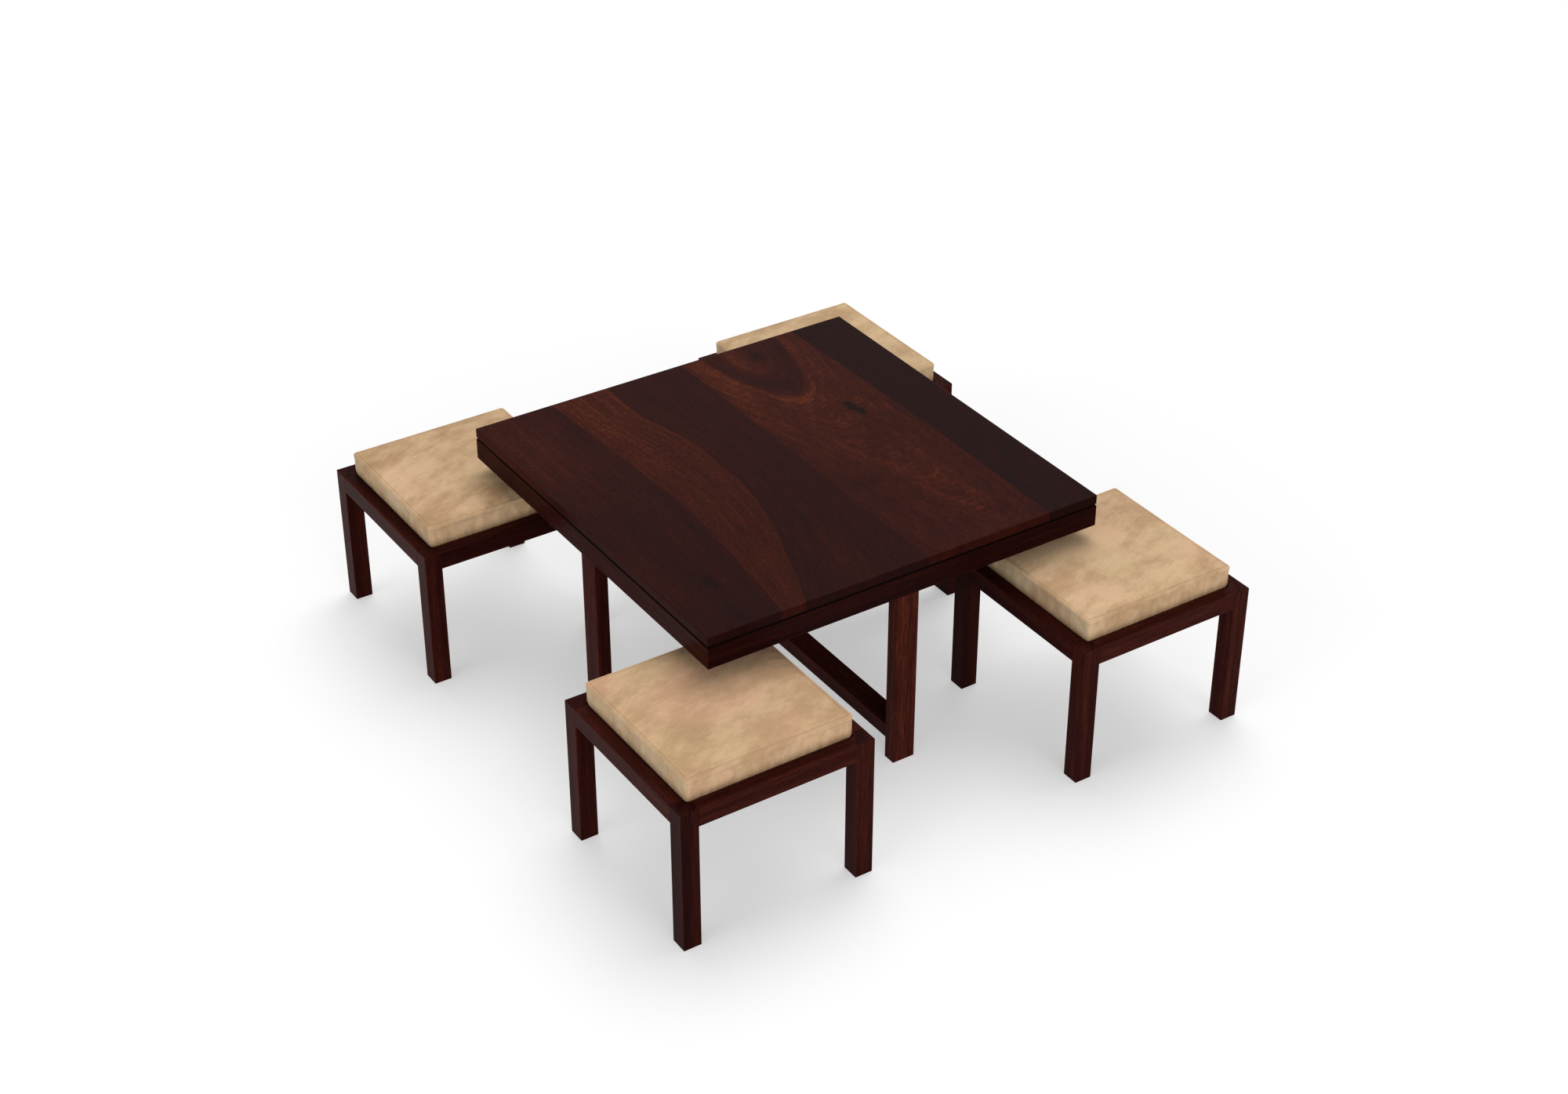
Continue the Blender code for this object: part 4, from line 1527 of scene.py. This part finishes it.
    def corner_seams(self, body: Piece) -> Piece:
        """The upright seams: on each corner two fine ridges with a valley between.

        Args:
            body: The stuffed body, which they are laid on.

        Returns:
            The four seams.
        """
        wide, bottom = self.ridge_width, self.foot_draw
        tall = self.seam_height - self.RIDGE_TOP * self.welt_reach - bottom
        Bench.clear()
        bpy.ops.mesh.primitive_plane_add(
            size=1, location=(0, 0, bottom + tall / 2), rotation=(QUARTER, 0, 0)
        )
        seam = Bench.opened("corner_seam", (wide, tall, 1))
        columns = np.arange(1, self.ridge_columns) / self.ridge_columns
        rows = np.arange(1, self.ridge_rows) / self.ridge_rows
        Bench.cut((1, 0, 0), (wide * (columns - 0.5)).tolist())
        Bench.cut((0, 0, 1), (bottom + tall * rows).tolist())
        bpy.ops.object.mode_set(mode="OBJECT")
        shares = np.abs(Bench.points(seam.data)[:, 0]) / (wide / 2)
        lifts = np.sin(shares * math.pi) ** self.RIDGE_POWER - self.RIDGE_SINK * shares**4
        turn = quarters(0.5)
        seam.data.transform(turn @ Matrix.Translation((0, -math.hypot(self.half, self.half), 0)))
        outward = turn.to_3x3() @ Vector((0, -1, 0))
        shell = body.evaluated_get(bpy.context.evaluated_depsgraph_get())
        places = Bench.points(seam.data)
        for index, (place, lift) in enumerate(zip(places, lifts * self.ridge_rise)):
            hit, point, _, _ = shell.ray_cast(Vector(place), -outward)
            if hit:
                places[index] = point + outward * lift
        Bench.move_points(seam.data, places)
        Bench.apply(seam, "SOLIDIFY", thickness=self.ridge_thickness, offset=0.0)
        made = Bench.repeated("cushion_seams", seam, [quarters(turns) for turns in range(4)])
        Bench.tidy(made, degrees=60)
        return made

    def build(self) -> dict[SewnPiece, Piece]:
        """Builds every piece of the cushion.

        Returns:
            The pieces by kind, each at the origin.
        """
        body = self.body()
        return {
            SewnPiece.BODY: body,
            SewnPiece.WELT: self.welt(),
            SewnPiece.CORNER_SEAMS: self.corner_seams(body),
            SewnPiece.STITCHING: self.stitching(),
        }


# Sub-assemblies

RAIL_WAYS = {"front": Way.X, "right": Way.Y, "back": Way.X, "left": Way.Y}

# Tones of the pieces that face the photograph's view. The others are drawn by chance.
SEEN_TONES = {
    "table_leg_front": 0.88,
    "table_leg_left": 0.66,
    "table_apron_front": 0.24,
    "table_apron_left": 0.50,
    "stool_front_left_leg_front_left": 0.40,
    "stool_front_right_leg_front_left": 0.62,
    "stool_back_left_leg_front_left": 0.55,
    "stool_front_left_rail_front": 0.62,
    "stool_front_left_rail_left": 0.62,
    "stool_front_right_rail_front": 0.70,
    "stool_front_right_rail_left": 0.50,
    "stool_front_right_leg_front_right": 0.64,
}

# Each cushion's pink, painted shade on its sides, and brushed patches.
HUES = {
    "front_left": Hue(rosy=1.0, deep=0.13, patchy=0.40),
    "front_right": Hue(rosy=0.6, deep=-0.01, patchy=0.54),
    "back_right": Hue(rosy=0.0, deep=-0.04, patchy=0.54),
    "back_left": Hue(rosy=0.4, deep=0.15, patchy=0.56),
}


def middle_and_half(node: str) -> tuple[Triple, Triple]:
    """The middle and the half size of a node's box."""
    low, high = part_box(node)
    return tuple((low + high) / 2), tuple((high - low) / 2)


def dress(node: str, finish: Finish) -> None:
    """Gives a carried-over node its finish.

    Args:
        node: The node's name.
        finish: Its surface.
    """
    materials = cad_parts[node].data.materials
    materials.clear()
    materials.append(finish.material())
    log.info("%s: %s", node, type(finish).__name__)


@dataclass
class Joinery:
    """Hands out a frame wood finish for each piece, each with its own tone and figure."""

    darkest: float = 0.44
    lightest: float = 0.66
    most_seed: float = 90.0
    chance: random.Random = field(default_factory=lambda: random.Random(11))

    def dress(self, node: str, way: Way) -> None:
        """Dresses one wooden node whose grain runs a given way.

        Args:
            node: The node's name.
            way: Where its grain runs.
        """
        drawn = self.chance.uniform(self.darkest, self.lightest)
        seed = self.chance.uniform(0, self.most_seed)
        tone = SEEN_TONES.get(node, drawn)
        finish = FrameWood(node + "_wood", *middle_and_half(node), way, tone, seed, "apron" in node)
        dress(node, finish)


@dataclass
class Table:
    """The table: a glued top on mitred aprons, four flat legs and two crossed stretchers."""

    joinery: Joinery

    def build(self) -> None:
        """Dresses every piece of the table."""
        dress("table_top", PlankTop("top_boards", *middle_and_half("table_top")))
        for side, way in RAIL_WAYS.items():
            self.joinery.dress(f"table_apron_{side}", way)
            self.joinery.dress(f"table_leg_{side}", Way.Z)
        self.joinery.dress("table_stretcher_left_right", Way.X)
        self.joinery.dress("table_stretcher_front_back", Way.Y)
        steel = PlatedSteel("plated_steel")
        for corner in CORNERS:
            self.joinery.dress(f"table_corner_block_{corner}", Way.X)
            dress(f"table_top_screw_{corner}", steel)


@dataclass
class Stool:
    """One stool: four legs and four rails of hardwood, a plywood seat board and a suede cushion.

    The cushions are all sewn alike, and each is turned by its own number of quarters.
    """

    corner: str
    turns: int
    joinery: Joinery
    sewn: CushionPattern
    pattern: dict[SewnPiece, Piece]
    first_seed: float = 5.0
    seed_step: float = 9.0

    @property
    def name(self) -> str:
        """The stool's body."""
        return f"stool_{self.corner}"

    def build(self) -> None:
        """Dresses the frame and the board, and sews the cushion in its place."""
        for corner in CORNERS:
            self.joinery.dress(f"{self.name}_leg_{corner}", Way.Z)
        for side, way in RAIL_WAYS.items():
            self.joinery.dress(f"{self.name}_rail_{side}", way)
        low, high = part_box(f"{self.name}_seat_board")
        dress(f"{self.name}_seat_board", Plywood(self.name + "_plywood", low.z, high.z - low.z))
        self.upholster()

    def upholster(self) -> None:
        """Copies the cushion's pieces here, turned so that no two cushions look alike."""
        node = f"{self.name}_cushion"
        low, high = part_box(node)
        foot = ((low.x + high.x) / 2, (low.y + high.y) / 2, low.z)
        place = Matrix.Translation(foot) @ quarters(self.turns)
        seed = self.first_seed + self.seed_step * self.turns
        suede = Suede(self.name + "_suede", foot, seed, self.sewn, HUES[self.corner]).material()
        thread = Thread(self.name + "_thread").material()
        for kind, pattern in self.pattern.items():
            piece = Bench.copied(pattern, f"{self.name}_{kind.value}", place)
            piece.data.materials.clear()
            piece.data.materials.append(thread if kind is SewnPiece.STITCHING else suede)
            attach(piece, self.name)
            if kind is SewnPiece.BODY:
                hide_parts(node)
            log.info("%s: %d faces", piece.name, len(piece.data.polygons))


# Studio


@dataclass(frozen=True)
class Lamp:
    """A distant soft light."""

    name: str
    strength: float
    degrees: float
    towards: Triple

    def build(self) -> None:
        """Hangs the lamp."""
        light = bpy.data.lights.new(self.name, "SUN")
        light.energy = self.strength
        light.angle = math.radians(self.degrees)
        turn = Vector(self.towards).to_track_quat("-Z", "Y").to_euler()
        Bench.put(self.name, light).rotation_euler = turn


@dataclass
class Studio:
    """A pale floor, soft light from above and the photograph's view.

    The floor has one grey where the camera sees it, lifted by a faint glow, and one for the
    light that it throws up.
    """

    floor_radius: float = 30.0
    floor_corners: int = 96
    floor_lift: float = 0.42
    floor_seen: float = 0.59
    floor_shade: float = 0.86
    sky: float = 0.36
    eye: Triple = (-2.4254, -3.7165, 3.1089)
    yaw: float = -33.232
    pitch: float = -32.742
    lens: float = 59.925
    farthest: float = 200.0
    lamps: tuple[Lamp, ...] = (
        Lamp("overhead", 1.65, 48.0, (-0.36, -0.34, -1.0)),
        Lamp("wall_left", 1.15, 50.0, (1.0, 0.1, -0.25)),
        Lamp("wall_front", 1.42, 50.0, (0.1, 1.0, -0.25)),
    )

    @staticmethod
    def seen_plainly(sheet: NodeSheet) -> Wire:
        """Whether a ray comes straight from the camera, off gloss or through glass.

        Args:
            sheet: The sheet that asks.

        Returns:
            1 where it does, 0 elsewhere.
        """
        path = sheet.add("LightPath")
        return sheet.most(
            *(sheet.wire(path, f"Is {ray} Ray") for ray in ("Camera", "Glossy", "Transmission"))
        )

    @staticmethod
    def mixed(sheet: NodeSheet, share: Wire, *shaders: bpy.types.Node) -> Wire:
        """One shader or the other, by a share from 0 to 1."""
        one, other = (sheet.wire(shader) for shader in shaders)
        return sheet.wire(sheet.add("MixShader", {0: share, 1: one, 2: other}))

    def world(self) -> None:
        """White behind the object, and a plain even sky for its light."""
        world = bpy.data.worlds.new("studio_sky")
        bpy.context.scene.world = world
        world.use_nodes = True
        sheet = NodeSheet(world.node_tree)
        lit = world.node_tree.nodes["Background"]
        sheet.feed(lit.inputs["Color"], WHITE)
        sheet.feed(lit.inputs["Strength"], self.sky)
        white = sheet.add("Background", {"Color": WHITE, "Strength": 1.0})
        leaving = world.node_tree.nodes["World Output"].inputs["Surface"]
        sheet.feed(leaving, self.mixed(sheet, self.seen_plainly(sheet), lit, white))

    def floor_material(self) -> bpy.types.Material:
        """Matt white paper that keeps a shadow, clear from below.

        Returns:
            The material.
        """
        made = bpy.data.materials.new("studio_paper")
        made.use_nodes = True
        sheet = NodeSheet(made.node_tree)
        paper = made.node_tree.nodes["Principled BSDF"]
        seen = self.seen_plainly(sheet)
        grey = sheet.blend(seen, self.floor_shade, self.floor_seen)
        settings = {"Roughness": 1.0, "Specular IOR Level": 0.0}
        for name, value in {"Base Color": sheet.joined(grey, grey, grey), **settings}.items():
            sheet.feed(paper.inputs[name], value)
        glow = sheet.add("Emission", {"Color": WHITE, "Strength": seen * self.floor_lift})
        lifted = sheet.add("AddShader", {0: sheet.wire(paper), 1: sheet.wire(glow)})
        below = sheet.wire(sheet.add("NewGeometry"), "Backfacing")
        leaving = made.node_tree.nodes["Material Output"].inputs["Surface"]
        sheet.feed(leaving, self.mixed(sheet, below, lifted, sheet.add("BsdfTransparent")))
        return made

    def floor(self) -> None:
        """Lays the floor, just under the feet."""
        Bench.clear()
        bpy.ops.mesh.primitive_circle_add(
            vertices=self.floor_corners, radius=self.floor_radius, fill_type="NGON"
        )
        floor = bpy.context.object
        floor.name = "studio_floor"
        floor.data.materials.append(self.floor_material())

    def camera(self) -> None:
        """Stands the camera where the photograph was taken from."""
        lens = bpy.data.cameras.new("photograph_view")
        lens.lens = self.lens
        lens.clip_end = self.farthest
        camera = Bench.put("photograph_view", lens)
        camera.location = self.eye
        camera.rotation_euler = (math.radians(90 + self.pitch), 0, math.radians(self.yaw))
        bpy.context.scene.camera = camera

    def build(self) -> None:
        """Sets the whole studio."""
        bpy.context.scene.view_settings.view_transform = "Standard"
        self.world()
        self.floor()
        for lamp in self.lamps:
            lamp.build()
        self.camera()


def main() -> None:
    """Builds the studio, the table and the four stools in order."""
    logging.basicConfig(level=logging.INFO, format="%(message)s")
    Studio().build()
    joinery = Joinery()
    Table(joinery).build()
    low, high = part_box(f"stool_{CORNERS[0]}_cushion")
    sewn = CushionPattern(half=(high.x - low.x) / 2, height=high.z - low.z)
    pattern = sewn.build()
    for turns, corner in enumerate(CORNERS):
        Stool(corner, turns, joinery, sewn, pattern).build()
    for spare in pattern.values():
        bpy.data.objects.remove(spare, do_unlink=True)


if __name__ == "__main__":
    main()
